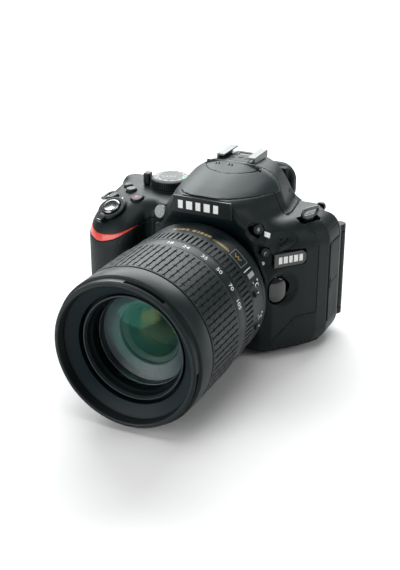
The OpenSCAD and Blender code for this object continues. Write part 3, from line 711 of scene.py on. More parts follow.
def front_cover(p):
    grip = np.maximum.reduce([p[:, 0] + 43.4, p[:, 1] + 15.5, p[:, 2] - 60, 5 - p[:, 2]])
    outer = body(p)
    form = without(skin(p), strip_bed(p))
    form = np.maximum(form, -(outer + WALL))
    r, gap = edge_of(p, 0.3)
    form = both(form, over_smile(p) + gap, r)
    form = both(form, np.maximum(p[:, 1] - SPLIT_Y + SEAM, BASE_Z + SEAM - p[:, 2]), 0.3)
    sunk = np.maximum(grip, -(outer + 1.15))
    form = without(form, sunk)
    doors = block(p, (GRIP_X - 2, -14.3, 15.7), (GRIP_X + 2.1, 10.3, 50.3), 1.2)
    doors = either(doors, block(p, (SIDE_X - 1.8, -3.8, 13.7), (SIDE_X + 2, 10.4, 58.3), 1.2))
    doors = either(doors, block(p, (GRIP_X - 2, -12, 19), (GRIP_X + 4, 9.8, 47)))
    return without(without(form, doors), np.maximum(patch_region(p, 0.15), -(outer + 0.8)))


def patch_region(p, grow=0.0):
    """Negative over the grained patch on the lower shoulder."""
    top = np.minimum(22.6, 22.6 - (42.5 - p[:, 0]) * 1.35)
    line = (p[:, 2] - top) / 1.3
    return np.maximum.reduce([line, 32.5 - p[:, 0], p[:, 1] + 10.9, 3.4 - p[:, 2]]) - grow


def side_patch(p):
    outer = body(p)
    return both(np.maximum(outer + 0.02, -(outer + 0.75)), patch_region(p), 0.3)


def rear_cover(p):
    form = np.maximum(skin(p), -(body(p) + WALL))
    region = np.maximum.reduce([over_smile(p) + SEAM, SPLIT_Y + SEAM - p[:, 1], BASE_Z + SEAM - p[:, 2]])
    form = both(form, region, 0.3)
    for z0, z1 in ((8.0, 11.7), (56.3, 60.0)):
        knuckle = rod(p - np.array([HINGE[0], HINGE[1], 0]), 3.2, z0, z1, 0.3)
        arm = block(p, (47.6, BACK_Y - 1, z0), (51.6, HINGE[1], z1), 0.3)
        form = either(form, either(knuckle, arm, 0.3), 0.3)
    return form


def bottom_plate(p):
    form = np.maximum(body(p), p[:, 2] - BASE_Z + SEAM)
    form = without(form, rod(p, 5.0, -1, 20))
    form = without(form, block(p, (-80, -60, -2), (-51.4, 9.4, 10)), 0.2)
    for x, y in SCREWS:
        q = p - np.array([x, y, 0])
        form = without(form, rod(q, 1.9, -1, 0.9), 0.15)
    return form


def top_cover(p):
    outer = body(p)
    hood = hood_region(p)
    form = np.maximum(skin(p), -(outer + WALL))
    r, gap = edge_of(p, 0.3)
    form = both(without(form, strip_bed(p)), gap - over_smile(p), r)
    form = without(form, hood - 0.22, 0.25)
    tray = both(np.abs(local(p, HOOD_PLANE)[:, 2] + 3.0) - 0.7, outer + 1.9)
    tray = np.maximum(tray, p[:, 1] + 3.5)
    pocket = block(p, (-14.4, -41, 79), (14.4, -27, 95))
    form = either(form, without(tray, pocket))
    form = without(form, block(p, (-11, -3.7, 93.6), (11, 30, 110)))
    return without(form, block(p, (-10, -10, 70), (10, 30, 82), 1))


def flash_hood(p):
    outer = body(p)
    form = both(np.maximum(outer, -(outer + 1.8)), hood_region(p), 0.3)
    panel = np.hypot(p[:, 0] / 14.6, (p[:, 1] + 4.5) / 14.2) * 14 - 14
    form = without(form, np.maximum(np.abs(panel) - 0.2, -(outer + 0.4)))
    for x in (-7.9, -6.3, -0.6, 1.0):
        slit = block(local(p, ((x, -9.9, 94), (0, 0, 14))), (-0.32, -1.2, -3), (0.32, 1.2, 4), 0.2)
        form = without(form, slit)
    lamp = block(p, (-13.4, -39.4, 83.5), (13.4, -30, 90), 0.6)
    lamp = np.maximum(lamp, plane(p, (0, -39.4, 85.8), (0, -0.55, -0.84)))
    form = either(form, both(lamp, outer + 1.0))
    knuckle = rod(local(p, ((0, -6.4, 94), (0, 90, 0))), 1.3, -11.9, 11.9, 0.2)
    knuckle = either(knuckle, rod(local(p, ((0, -6.4, 94), (0, 90, 0))), 0.8, -14.6, 14.6))
    for x in (-14.2, 14.2):
        form = without(form, block(p, (x - 1.6, -8.2, 88), (x + 1.6, -2, 92.6)))
    return either(form, knuckle)


mould("front_cover_shell", front_cover, (-76, -42, 2), (55, 11, 66), 0.62, "camera", "shell", BODY,
      "front_cover")
mould("rear_cover_shell", rear_cover, (-76, 10, 2), (55, 26, 66), 0.7, "camera", "shell", BODY, "rear_cover")
mould("bottom_plate_shell", bottom_plate, (-76, -42, -0.5), (55, 19, 3.2), 0.6, "camera", "shell", BODY,
      "bottom_plate")
mould("top_cover_shell", top_cover, (-76, -44, 50), (55, 25, 97), 0.55, "camera", "shell", BODY, "top_cover")
mould("flash_hood_shell", flash_hood, (-29, -44, 80), (29, 0, 97), 0.45, "flash", "hood", HOOD, "flash_head")
mould("side_patch", side_patch, (31, -33, 2.5), (55, -10, 24), 0.5, "camera", "grip_rubber", RUBBER)


def grip_rubber(p):
    outer = body(p)
    region = np.maximum.reduce([p[:, 0] + 43.6, p[:, 1] + 15.7, 5.2 - p[:, 2],
                                over_smile(p) + strip_thickness(p) + 0.12])
    return both(np.maximum(outer, -(outer + 1.1)), region, 0.35)


def accent_strip(p):
    outer = body(p)
    band = np.abs(over_smile(p)) - strip_thickness(p)
    region = np.maximum.reduce([band, p[:, 0] + 43.4, p[:, 1] + 13.5])
    return both(np.maximum(outer + 0.12, -(outer + 1.6)), region, 0.2)


mould("grip_rubber_skin", grip_rubber, (-76, -42, 4), (-43, -15, 60), 0.5, "camera", "grip_rubber", RUBBER,
      "grip_rubber")
mould("accent_crescent", accent_strip, (-76, -42, 40), (-43, -13, 67), 0.3, "camera", "accent_red", RED,
      "accent_strip")

# ---------------------------------------------------------------- turned pieces and thin marks
def spin(profile, columns, place=None, centre=None):
    """Vertices and faces of a solid turned from a profile that starts and ends on the axis."""
    angle = even(columns)
    if centre is None:
        def centre(r, z, a):
            return np.stack([r * np.cos(np.radians(a)), r * np.sin(np.radians(a)), z + 0 * a], -1)
    rows = [centre(r, z, angle) for r, z in profile[1:-1]]
    poles = [centre(0.0, profile[0][1], angle)[:1], centre(0.0, profile[-1][1], angle)[:1]]
    vertices = np.concatenate([poles[0]] + rows + [poles[1]])
    m, n, last = columns, len(rows), len(vertices) - 1
    faces = [[0, 1 + (j + 1) % m, 1 + j] for j in range(m)]
    for i in range(n - 1):
        a, b = 1 + i * m, 1 + (i + 1) * m
        faces += [[a + j, a + (j + 1) % m, b + (j + 1) % m, b + j] for j in range(m)]
    a = 1 + (n - 1) * m
    faces += [[a + j, a + (j + 1) % m, last] for j in range(m)]
    if centre is on_lens:
        faces = [face[::-1] for face in faces]
    if profile[0][1] < profile[-1][1]:
        faces = [face[::-1] for face in faces]
    if place is not None:
        vertices = vertices @ rotation(place[1]).T + np.array(place[0])
    return vertices, faces


def join(parts):
    vertices, faces, start = [], [], 0
    for some, shapes in parts:
        vertices.append(some)
        faces += [[start + k for k in face] for face in shapes]
        start += len(some)
    return np.concatenate(vertices), faces


def lathe(name, profile, place, body, slot, material, *stands_for, soft=0.25, columns=64, sharp=38):
    mesh = new_mesh(name, *spin(rounded(profile, soft, 3, False), columns, place), sharp)
    return add(mesh, name, body, slot, material, *stands_for)


def lens_part(name, profile, body, slot, material, *stands_for, soft=0.2, columns=even(240), relief=None):
    mesh = ring_mesh(name, rounded(profile, soft), columns, relief)
    return add(mesh, name, body, slot, material, *stands_for)


def bar(u, v, width, height, turn=0.0):
    """Outline of a small bar."""
    a, w, h = math.radians(turn), width / 2, height / 2
    corners = ((-w, -h), (w, -h), (w, h), (-w, h))
    return [(u + x * math.cos(a) - y * math.sin(a), v + x * math.sin(a) + y * math.cos(a)) for x,
            y in corners]


def disc(u, v, r, n=20):
    return arc(u, v, r, 0, 360 - 360 / n, n - 1)


def stamp(outlines, carry, lift=0.06, sink=-0.2):
    """Thin prisms on flat outlines, carried on to a surface."""
    vertices, faces = [], []
    for outline in outlines:
        n, start = len(outline), len(vertices)
        for w in (sink, lift):
            vertices += [(u, v, w) for u, v in outline]
        faces.append([start + i for i in range(n)][::-1])
        faces.append([start + n + i for i in range(n)])
        for i in range(n):
            k = (i + 1) % n
            faces.append([start + i, start + k, start + n + k, start + n + i])
    return carry(np.array(vertices, float)), faces


def digits(text, size, carry):
    """Numbers of a scale as a thin raised print."""
    curve = bpy.data.curves.new("digits", "FONT")
    curve.body = text
    curve.size = size
    curve.align_x = "CENTER"
    curve.align_y = "CENTER"
    curve.extrude = 0.08
    curve.resolution_u = 3
    thing = bpy.data.objects.new("digits", curve)
    bpy.context.scene.collection.objects.link(thing)
    graph = bpy.context.evaluated_depsgraph_get()
    mesh = bpy.data.meshes.new_from_object(thing.evaluated_get(graph))
    vertices = np.array([list(v.co) for v in mesh.vertices])
    faces = [list(f.vertices) for f in mesh.polygons]
    bpy.data.objects.remove(thing)
    bpy.data.curves.remove(curve)
    bpy.data.meshes.remove(mesh)
    return carry(vertices), faces


def round_lens(angle, h, radius):
    """Carries (across, towards the body, out) on to the lens at an angle and a distance."""
    def carry(q):
        turn = angle + np.degrees(q[:, 0] / radius)
        return on_lens(radius + q[:, 2], h - q[:, 1], turn)
    return carry


def in_frame(place):
    def carry(q):
        return q @ rotation(place[1]).T + np.array(place[0])
    return carry


def on_skin(place, field=body):
    """Carries a mark in a frame on to the skin of the body."""
    def carry(q):
        flat = q.copy()
        flat[:, 2] = 0
        points = in_frame(place)(flat)
        for _ in range(6):
            normal, slope = gradient(field, points, 0.05)
            points -= normal * (field(points) / np.maximum(slope, 0.3))[:, None]
        normal, _ = gradient(field, points, 0.05)
        return points + normal * q[:, 2:3]
    return carry


def marks(name, parts, body_name, material):
    vertices, faces = join(parts)
    mesh = new_mesh(name, vertices, faces, 30)
    return add(mesh, name, body_name, None, material)


# ---------------------------------------------------------------- lens
def grooved(count, radius, offsets):
    """Angles of columns that gather at the grooves of a ribbed ring."""
    return (even(count)[:, None] + np.degrees(np.array(offsets) / radius)).ravel()


ZOOM_RIBS, ZOOM_R = 76, 37.7
TICKS = 84.6 + 2.9 * np.arange(9)


def zoom_relief(angle, r, h):
    if r < ZOOM_R - 0.02:
        return 0.0
    turn = angle / 360 * ZOOM_RIBS
    across = np.abs((turn + 0.5) % 1 - 0.5) * 2 * math.pi * ZOOM_R / ZOOM_RIBS
    odd = np.round(turn) % 2
    near = np.abs(h - TICKS)
    tick = np.where(odd == np.argmin(near) % 2, ramp(near.min(), 0.32, 0.16) * ramp(across, 1.05, 0.8), 0)
    span = ramp(h, 82.0, 82.5) * ramp(h, 108.1, 107.6)
    groove = ramp(across, 0.40, 0.22) * span
    return -0.62 * np.maximum(groove, tick * span)


offsets = (-1.1, -1.05, -0.8, -0.40, -0.31, -0.22, 0.0, 0.22, 0.31, 0.40, 0.8, 1.05)
rows = sorted([81.9, 82.0, 82.5, 107.6, 108.1] + [t + d for t in TICKS for d in (-0.32, -0.16, 0.16, 0.32)])
profile = [(36.35, 109.25), (36.35, 80.85), (37.45, 80.85), (37.62, 80.95), (ZOOM_R, 81.2)]
profile += [(ZOOM_R, h) for h in rows] + [(ZOOM_R, 108.9), (37.6, 109.17), (37.4, 109.25)]
add(ring_mesh("zoom_rubber_ribs", profile, grooved(ZOOM_RIBS, ZOOM_R, offsets), zoom_relief, sharp=60),
    "zoom_rubber_ribs", "zoom_grip", "lens_rubber", RIB, "zoom_rubber")

FOCUS_RIBS, FOCUS_R = 90, 36.9


def focus_relief(angle, r, h):
    if r < FOCUS_R - 0.02:
        return 0.0
    across = np.abs((angle / 360 * FOCUS_RIBS + 0.5) % 1 - 0.5) * 2 * math.pi * FOCUS_R / FOCUS_RIBS
    return -0.8 * ramp(across, 0.58, 0.36) * ramp(h, 62.9, 63.2) * ramp(h, 71.0, 70.7)


rows = (62.55, 62.9, 63.05, 63.2, 65.0, 67.0, 69.0, 70.7, 70.85, 71.0, 71.3)
profile = [(35.6, 71.55), (35.6, 62.15), (36.7, 62.15), (36.85, 62.25)] + [(FOCUS_R, h) for h in rows]
profile += [(36.85, 71.48), (36.7, 71.55)]
add(ring_mesh("focus_ring_pads", profile, grooved(FOCUS_RIBS, FOCUS_R,
                                                  (-0.9, -0.58, -0.47, -0.36, 0, 0.36, 0.47, 0.58)),
              focus_relief, sharp=60), "focus_ring_pads", "focus_grip", "lens_rubber", RIB, "focus_ring")

lens_part("zoom_scale_ring", [(35.5, 71.9), (36.7, 71.9), (36.7, 72.15), (37.1, 72.2), (37.1, 72.9),
                              (36.98, 72.95),
                              (36.98, 73.2), (37.1, 73.25), (37.1, 79.6), (36.98, 79.65), (36.98, 79.9),
                              (37.1, 79.95), (37.1, 80.7), (36.3, 80.75), (36.3, 109.3), (35.5, 109.3)],
          "zoom_grip", "lens_black", LENS_BAND, "zoom_ring", soft=0.08)


def barrel(p):
    """Rear barrel with pockets for the two slide switches."""
    profile = [(26, 38), (31, 38), (33.5, 41), (35.6, 44.5), (36.2, 46.6), (36.2, 48.3), (36.05, 48.45),
               (36.05, 48.8), (36.3, 49), (36.3, 61.2), (36.1, 61.6), (35.2, 61.75), (35.2, 108.6),
               (33.9, 108.6), (33.9, 48), (26, 44)]
    form = polygon(np.hypot(p[:, 0], p[:, 2] - LENS_Z), -p[:, 1], profile)
    for a in (74, 101):
        q = local(p, ((0, 0, LENS_Z), (0, a, 0)))
        form = without(form, block(q, (-2.2, -60.2, 34.9), (2.2, -50.8, 42), 0.5), 0.2)
        plate = np.maximum(block(q, (-4.4, -61.0, 30), (4.4, -49.6, 42), 1.6), -form - 0.3)
        form = either(form, both(plate, np.hypot(p[:, 0], p[:, 2] - LENS_Z) - 36.45, 0.1))
    return form


mould("lens_rear_barrel", barrel, (-37, -62, 2), (37, -37, 76.2), 0.55, "lens", "lens_black", LENS)
lens_part("lens_inner_sleeve", [(35.18, 61.6), (35.18, 108.6), (33.9, 108.6), (33.9, 61.6)], "lens",
          "lens_black",
          INNER, "lens_barrel", soft=0.1)

SLOTS = (1.5, 91.5, 181.5, 271.5)
TEETH = [(33.5 + 0.32 * (k % 2), 124.3 - 0.36 * k) for k in range(11)]


def rim_relief(angle, r, h):
    if not (121.4 < h < 123.9 and r > 35.9):
        return 0.0
    deep = ramp(h, 121.45, 121.6) * ramp(h, 123.75, 123.6)
    inside = sum(ramp(angle, a - 0.3, a + 0.3) * ramp(angle, a + 32.8, a + 32.2) for a in SLOTS)
    return -1.5 * deep * inside


profile = [(31.6, 60), (33.55, 60), (33.55, 109.65), (37.25, 109.65), (37.5, 109.9), (37.6, 110.4),
           (37.6, 119.8),
           (37.45, 120.15), (37.1, 120.25), (37.05, 120.6), (36.45, 120.7), (36.35, 121.0), (36.3, 121.45),
           (36.3, 121.6), (36.2, 123.6), (36.2, 123.75), (36.15, 124.0), (35.9, 124.1), (35.85, 124.35),
           (35.5, 124.45), (35.45, 124.8), (35.2, 125), (34.3, 125), (33.9, 124.75)]
profile += TEETH
profile += [(33.4, 120.2), (33.0, 119.9), (32.2, 119.5), (27.9, 117.2), (27.55, 116.9), (27.45, 113.2),
            (26.1, 113.2), (26.0, 115.6), (25.8, 115.9), (25.3, 115.9), (24.6, 114.2), (24.2, 112.4),
            (23.3, 111.4),
            (23.2, 105), (31.6, 105)]
edges = np.concatenate([np.arange(0, 360, 1.5)] + [np.array([a - 0.3, a, a + 0.3, a + 32.2, a + 32.5,
                                                             a + 32.8])
                                                   for a in SLOTS])
inner = add(ring_mesh("front_ring", profile, np.unique(edges), rim_relief, sharp=30), "front_ring",
            "zoom_tube",
            "lens_black", [LENS_BAND, INNER, TEAL, LENS, MID], "inner_barrel")


def rim_zone(r, h):
    """Which of the front ring's paints a band of its profile has."""
    if r > 37.1 and h > 109:
        return 0
    if r > 33.95 and h > 120:
        return 3
    if 27.6 < r < 33.1 and h > 117:
        return 2
    if 24.4 < r < 26.05 and h > 113.5:
        return 4
    return 1


bands = zip(profile, profile[1:] + profile[:1])
zones = [rim_zone((r0 + r1) / 2, (h0 + h1) / 2) for (r0, h0), (r1, h1) in bands]
inner.data.polygons.foreach_set("material_index", np.repeat(zones, len(np.unique(edges))).astype(np.int32))


def bowl(r_edge, h_top, radius, steps=16, bulge=1):
    """Profile points of a spherical face from the axis outwards."""
    out = []
    for i in range(steps + 1):
        r = r_edge * i / steps
        out.append((r, h_top - bulge * (radius - math.sqrt(radius * radius - r * r))))
    return out


def element(name, r, top, radius, low, back_radius, back_bulge, slot, material, *stands_for):
    """Lens element between two spherical faces."""
    face = bowl(r, top, radius, 22)
    back = bowl(r, low, back_radius, 12, back_bulge)
    mesh = new_mesh(name, *spin(face + back[::-1], 96, None, on_lens), 40)
    return add(mesh, name, "zoom_tube", slot, material, *stands_for)


element("front_glass", 23.0, 114.4, 42.0, 107.2, 300.0, 1, "optical_glass", COAT_TEAL, "front_element")
element("second_glass", 22.6, 105.0, 60.0, 103.2, 46.0, -1, "optical_glass", COAT_GREEN)
element("third_glass", 15.2, 100.5, 24.0, 94.2, 200.0, 1, "optical_glass", COAT_AMBER)
element("fourth_glass", 12.5, 92.0, 17.0, 86.0, 60.0, 1, "optical_glass", COAT_VIOLET)
lens_part("element_cell", [(31.5, 104.8), (23.1, 104.8), (22.9, 106.6), (22.6, 106.4), (22.4, 102.8),
                           (16.2, 99.6),
                           (15.9, 99.9), (15.5, 99.5), (15.6, 84), (31.5, 84)], "zoom_tube", "inner_black",
                           CELL_RING,
          soft=0.1)
lens_part("inner_baffle", [(15.5, 97.5), (12.8, 96), (12.6, 84), (9.0, 83), (9.0, 72), (15.5, 72)],
          "zoom_tube",
          "inner_black", VOID, soft=0.3)

numbers = [(-1, "18"), (12, "24"), (27.5, "35"), (42, "50"), (56.5, "70"), (70.3, "105")]
parts = [digits(text, 3.7, round_lens(a, 76.3, 37.12)) for a, text in numbers]
marks("zoom_numbers", parts, "zoom_grip", PRINT)

gold, grey, white = [], [], []
for a, size in ((-13, 2.4), (-9.3, 1.6), (-6, 2.6), (-2.2, 2.0), (3.5, 2.6), (7, 1.4), (10, 2.2),
                (13.4, 1.8), (16.5, 2.4)):
    gold.append(stamp([bar(0, 0, size * 0.72, 2.0)], round_lens(a, 56.2, 36.3)))
for i in range(9):
    gold.append(stamp([bar(0, 0.0, 0.8, 0.9)], round_lens(21.0 + 1.75 * i, 57.6, 36.3)))
for i in range(14):
    gold.append(stamp([bar(0, 0.0, 0.62, 0.22)], round_lens(21.4 + 0.95 * i, 56.4, 36.3)))
for u, turn in ((-1.5, 35), (-0.5, -35), (0.5, 35), (1.5, -35)):
    gold.append(stamp([bar(u, 0, 0.6, 2.6, turn)], round_lens(43.5, 55.6, 36.3)))
for a in (37.6, 51):
    grey.append(stamp([bar(0, 0, 0.22, 7.4)], round_lens(a, 55.4, 36.3)))
for i in range(15):
    for h in (51.8, 59.0):
        grey.append(stamp([bar(0, 0, 0.62, 0.22)], round_lens(37.8 + 0.93 * i, h, 36.3)))
white.append(stamp([bar(0, 0, 0.42, 7.4)], round_lens(55.2, 55.4, 36.3)))
grey.append(stamp([bar(-0.6, 0, 1.2, 6.0), bar(0.6, 0, 1.2, 6.0)], round_lens(60.2, 54.6, 36.3)))
for a in (74, 101):
    white.append(stamp([bar(0, 0, 0.34, 3.2)], round_lens(a - 5.6, 53.2, 36.45)))
    white.append(stamp([bar(0, 1.5, 1.5, 0.34), bar(0, -1.5, 1.5, 0.34)], round_lens(a - 4.4, 53.2, 36.45)))
    white.append(stamp([bar(0, 0, 0.9, 0.9, 45)], round_lens(a - 7.6, 51.0, 36.4)))
    white.append(stamp([bar(0, 0, 0.9, 0.4)], round_lens(a - 7.6, 55.8, 36.4)))
marks("barrel_gold_marks", gold, "lens", GOLD)
marks("barrel_grey_marks", grey, "lens", GREY_PRINT)
marks("barrel_white_marks", white, "lens", PRINT)


def switch(name, a):
    place = ((0, 0, LENS_Z), (0, a, 0))

    def knob(p):
        form = block(p, (-1.9, -59.9, 35.3), (1.9, -54.9, 36.5), 0.3)
        tab = block(p, (-1.5, -58.9, 36), (1.5, -55.9, 37.65), 0.35)
        for k in range(3):
            tab = without(tab, block(p, (-2, -58.2 + 0.75 * k, 37.3), (2, -57.9 + 0.75 * k, 38)), 0.08)
        return either(form, tab, 0.2)
    mould(name + "_knob", knob, (-2.1, -60.1, 35.1), (2.1, -54.7, 37.8), 0.16, name, "switch_grey", DARK,
          name,
          place=place)
    tick = stamp([bar(0, -56.3, 0.35, 1.6)], in_frame(place), 37.72, 37.4)
    marks(name + "_tick", [tick], name, PRINT)


switch("focus_switch", 74)
switch("stabiliser_switch", 101)

# ---------------------------------------------------------------- controls on the top
KNURLS = 54


def dial_knurl(p):
    r, a = np.hypot(p[:, 0], p[:, 1]), np.arctan2(p[:, 1], p[:, 0])
    across = np.abs((a / (2 * math.pi) * KNURLS + 0.5) % 1 - 0.5) * 2 * math.pi * 10.6 / KNURLS
    rib = 0.42 * ramp(across, 0.34, 0.16) * ramp(p[:, 2], 0.35, 0.7)
    form = both(r - 10.6 + rib, np.abs(p[:, 2] - 2.1) - 2.05, 0.3)
    form = either(form, rod(p, 3.0, -7, 1))
    return np.maximum(form, -rod(p, 9.6, 3.6, 6))


mould("dial_knurl", dial_knurl, (-10.8, -10.8, -7), (10.8, 10.8, 4.3), 0.2, "mode_dial", "dial", DARK,
      "mode_dial",
      place=(DIAL, (0, 0, 0)), sharp=45)
lathe("dial_silver_ring", [(0, 5.0), (6.6, 5.0), (6.75, 5.15), (8.9, 5.1), (10.0, 4.35), (10.05, 3.9),
                           (0, 3.6)],
      (DIAL, (0, 0, 0)), "mode_dial", "dial", SILVER, soft=0.12, columns=96, sharp=50)
lathe("dial_centre", [(0, 5.12), (6.2, 5.12), (6.45, 5.0), (6.45, 4.8), (0, 4.8)], (DIAL, (0, 0, 0)),
      "mode_dial",
      "dial", DIAL_FACE, soft=0.1, columns=72)
black, green, pale = [], [], []
for i in range(11):
    a = -150 + 27 * i
    x, y = 7.9 * math.cos(math.radians(a)), 7.9 * math.sin(math.radians(a))
    shape = ([bar(x, y, 0.9, 0.35, a), bar(x, y, 0.35, 0.9, a)], [disc(x, y, 0.45, 12)],
             [bar(x, y, 1.0, 0.7, a)])[i % 3]
    black.append(stamp(shape, in_frame((DIAL, (0, 0, 0))), 5.2, 5.0))
for i, width in enumerate((1.6, 1.0, 2.0, 1.2)):
    pale.append(stamp([bar(-3.3 + 1.9 * i, -2.6 + 0.9 * i, width, 0.4, 20)], in_frame((DIAL, (0, 0, 0))),
                      5.17, 5.0))
green.append(stamp([[(9.0 * math.cos(math.radians(a)), 9.0 * math.sin(math.radians(a))) for a in range(-12,
                                                                                                       32,
                                                                                                       4)]
                    + [(6.9 * math.cos(math.radians(a)), 6.9 * math.sin(math.radians(a)))
                       for a in range(28, -16, -4)]], in_frame((DIAL, (0, 0, 0))), 5.17, 5.0))
marks("dial_black_marks", black, "mode_dial", VOID)
marks("dial_pale_marks", pale, "mode_dial", PRINT)
marks("dial_green_mark", green, "mode_dial", GREEN)


def live_view(p):
    form = rod(p, 11.6, -0.65, -0.2, 0.1)
    q = p @ rotation((0, 0, 8))
    grip = both(block(q, (-15.2, -2.6, -0.65), (-11.3, 2.6, 5.8), 0.9), 11.1 - np.hypot(p[:, 0], p[:, 1]),
                0.3)
    for k in range(5):
        groove = block(q, (-15.6, -1.85 + 0.8 * k, 0.6), (-14.8, -1.5 + 0.8 * k, 7))
        grip = without(grip, groove, 0.1)
    return np.maximum(either(form, grip, 0.2), -rod(p, 3.4, -2, 2))


mould("live_view_block", live_view, (-15.4, -12, -0.8), (12, 12, 6), 0.25, "live_view_lever",
      "control_black", DARK,
      "live_view_lever", place=(DIAL, (0, 0, 0)))
lathe("shutter_cap", [(0, 2.25), (2.4, 2.35), (4.0, 2.6), (4.9, 2.1), (4.9, -4), (0, -4)], SHUTTER,
      "shutter_button", "button_chrome", CHROME, "shutter_button", soft=0.55, columns=96, sharp=60)


def power_ring(p):
    ring = without(rod(p, 7.7, -0.5, 1.4, 0.7), rod(p, 5.2, -3, 6), 0.3)
    q = p @ rotation((0, 0, -20))
    tab = block(q, (-2.2, -10.8, -0.5), (2.2, -6, 1.95), 0.7)
    tab = without(tab, block(q, (-1.5, -9.6, 1.6), (1.5, -9.2, 3)), 0.1)
    tab = without(tab, block(q, (-1.5, -8.7, 1.6), (1.5, -8.3, 3)), 0.1)
    return without(either(ring, tab, 0.5), rod(p, 5.2, -3, 6), 0.2)


mould("power_ring", power_ring, (-8, -12, -0.7), (8, 8, 2.2), 0.2, "power_switch", "control_black", DARK,
      "power_switch", place=SHUTTER)
marks("power_line", [stamp([bar(0, -10.15, 2.6, 0.35)],
                           lambda q: in_frame(SHUTTER)(q @ rotation((0, 0, -20)).T), 1.99, 1.7)],
                           "power_switch",
      PRINT)
marks("power_mark", [stamp([bar(0, 0, 0.8, 2.4, 6)], on_skin(((-59.0, -19.6, 71.0), (0, 0, 0))))], "camera",
      PRINT)


def button(name, place, proud, material, slot="control_black", rides=None):
    r = place[2]
    profile = [(0, proud - 0.12), (r - 0.9, proud - 0.05), (r - 0.45, proud), (r, proud - 0.45),
               (r, -1.8), (0, -1.8)]
    cad = (name,) if rides is None else ()
    lathe(name + "_cap", profile, place, rides or name, slot, material, *cad, soft=0.2, columns=56, sharp=50)


button("movie_button", MOVIE, 0.9, MID)
marks("movie_dot", [stamp([disc(0, 0, 0.95)], in_frame(MOVIE[:2]), 0.92, 0.6)], "movie_button", RED_DOT)
button("info_button", INFO, 1.0, MID)
button("exposure_button", EXPOSURE, 1.0, DARK)
button("drive_button", DRIVE, 0.9, DARK)
button("flash_button", FLASH_BUTTON, 0.9, DARK)
button("fn_button", FN_BUTTON, 0.9, DARK)
button("menu_button", MENU, 1.1, DARK)
button("playback_button", PLAYBACK, 1.1, DARK)
button("zoom_in_button", ZOOM_IN, 1.1, DARK)
button("delete_button", DELETE, 1.1, DARK)
arrow = [(-0.2, 1.3), (-0.9, -0.2), (-0.15, -0.1), (-0.4, -1.4), (0.9, 0.3), (0.2, 0.2), (0.6, 1.3)]
marks("flash_arrow", [stamp([arrow], in_frame(FLASH_BUTTON[:2]), 0.97, 0.5)], "flash_button", GREY_PRINT)
marks("fn_mark", [stamp([bar(0, 0.5, 1.1, 0.4), bar(-0.4, -0.2, 0.4, 1.4)], in_frame(FN_BUTTON[:2]), 0.97,
                        0.5)],
      "fn_button", GREY_PRINT)
for name, place in (("menu", MENU), ("playback", PLAYBACK), ("zoom_in", ZOOM_IN), ("delete", DELETE)):
    shape = {"menu": [bar(0, 0.7, 2, 0.3), bar(0, 0, 2, 0.3), bar(0, -0.7, 2, 0.3)],
             "playback": [[(-0.8, 0.9), (-0.8, -0.9), (1.0, 0)]],
             "zoom_in": [bar(0, 0, 1.8, 0.35), bar(0, 0, 0.35, 1.8)],
             "delete": [bar(0, 0, 1.8, 0.35, 45), bar(0, 0, 1.8, 0.35, -45)]}[name]
    marks(name + "_mark", [stamp(shape, in_frame(place[:2]), 1.05, 0.8)], name + "_button", PRINT)


def lamp(p):
    form = rod(p, 3.45, -1.8, 0.75, 0.3)
    facets = np.abs((p[:, :2] / 1.15 + 0.5) % 1 - 0.5).sum(1) * 0.5
    return np.maximum(form, p[:, 2] - 0.78 + 0.35 * facets * (np.hypot(p[:, 0], p[:, 1]) < 3.0))


mould("lamp_lens", lamp, (-3.6, -3.6, -1.9), (3.6, 3.6, 1), 0.16, "camera", "lamp", LAMP_WHITE, "af_lamp",
      place=LAMP[:2], sharp=20)


def release(p):
    crown = -0.35 - 0.045 * (p[:, 0] ** 2 + np.maximum(np.abs(p[:, 1]) - 2, 0) ** 2)
    return both(slot_rod(p, 5.0, 2, -4, 1), p[:, 2] - crown, 0.5)


mould("release_cap", release, (-5.3, -7.3, -4.2), (5.3, 7.3, 0), 0.25, "lens_release", "control_black",
      GLOSS,
      "lens_release", place=RELEASE)

# ---------------------------------------------------------------- shoe, lugs, eyecup
def shoe(p):
    x = np.abs(p[:, 0])
    q = np.stack([x, p[:, 1], p[:, 2]], 1)
    form = both(block(q, (-10.7, -3.4, 93.6), (10.7, 14, 97.4), 0.35),
                -block(q, (-9.35, -9, 94.4), (9.35, 30, 96.5)))
    return without(form, block(q, (-6.3, -9, 94.4), (6.3, 30, 99), 0.1), 0.2)


mould("shoe_rails", shoe, (-10.9, -3.6, 93.4), (10.9, 14.2, 97.6), 0.25, "camera", "bright_metal", SATIN,
      "hot_shoe")


def shoe_floor(p):
    plate = block(p, (-6.2, -3.2, 94.3), (6.2, 13.6, 94.75), 0.15)
    plate = without(plate, block(p, (-3.6, 8.4, 94), (3.6, 11.2, 96), 0.3), 0.1)
    spring = block(p, (-9.2, -2.4, 94.3), (9.2, 8, 94.55), 0.1)
    return either(plate, without(spring, block(p, (-7, -1.4, 94), (7, 7, 96))), 0.05)


mould("shoe_floor", shoe_floor, (-9.4, -3.4, 94.1), (9.4, 14, 95), 0.2, "camera", "bright_metal", STEEL)
contacts = [(0, 3.5, 1.5), (-3.4, 6.6, 0.9), (3.4, 6.6, 0.9), (-3.4, 2.2, 0.9), (3.4, 2.2, 0.9)]
parts = [spin([(0, 94.95), (r - 0.2, 94.95), (r, 94.8), (r, 94.5), (0, 94.5)], 24, ((x, y, 0), (0, 0, 0)))
         for x, y, r in contacts]
add(new_mesh("shoe_contacts", *join(parts)), "shoe_contacts", "camera", "bright_metal", STEEL)


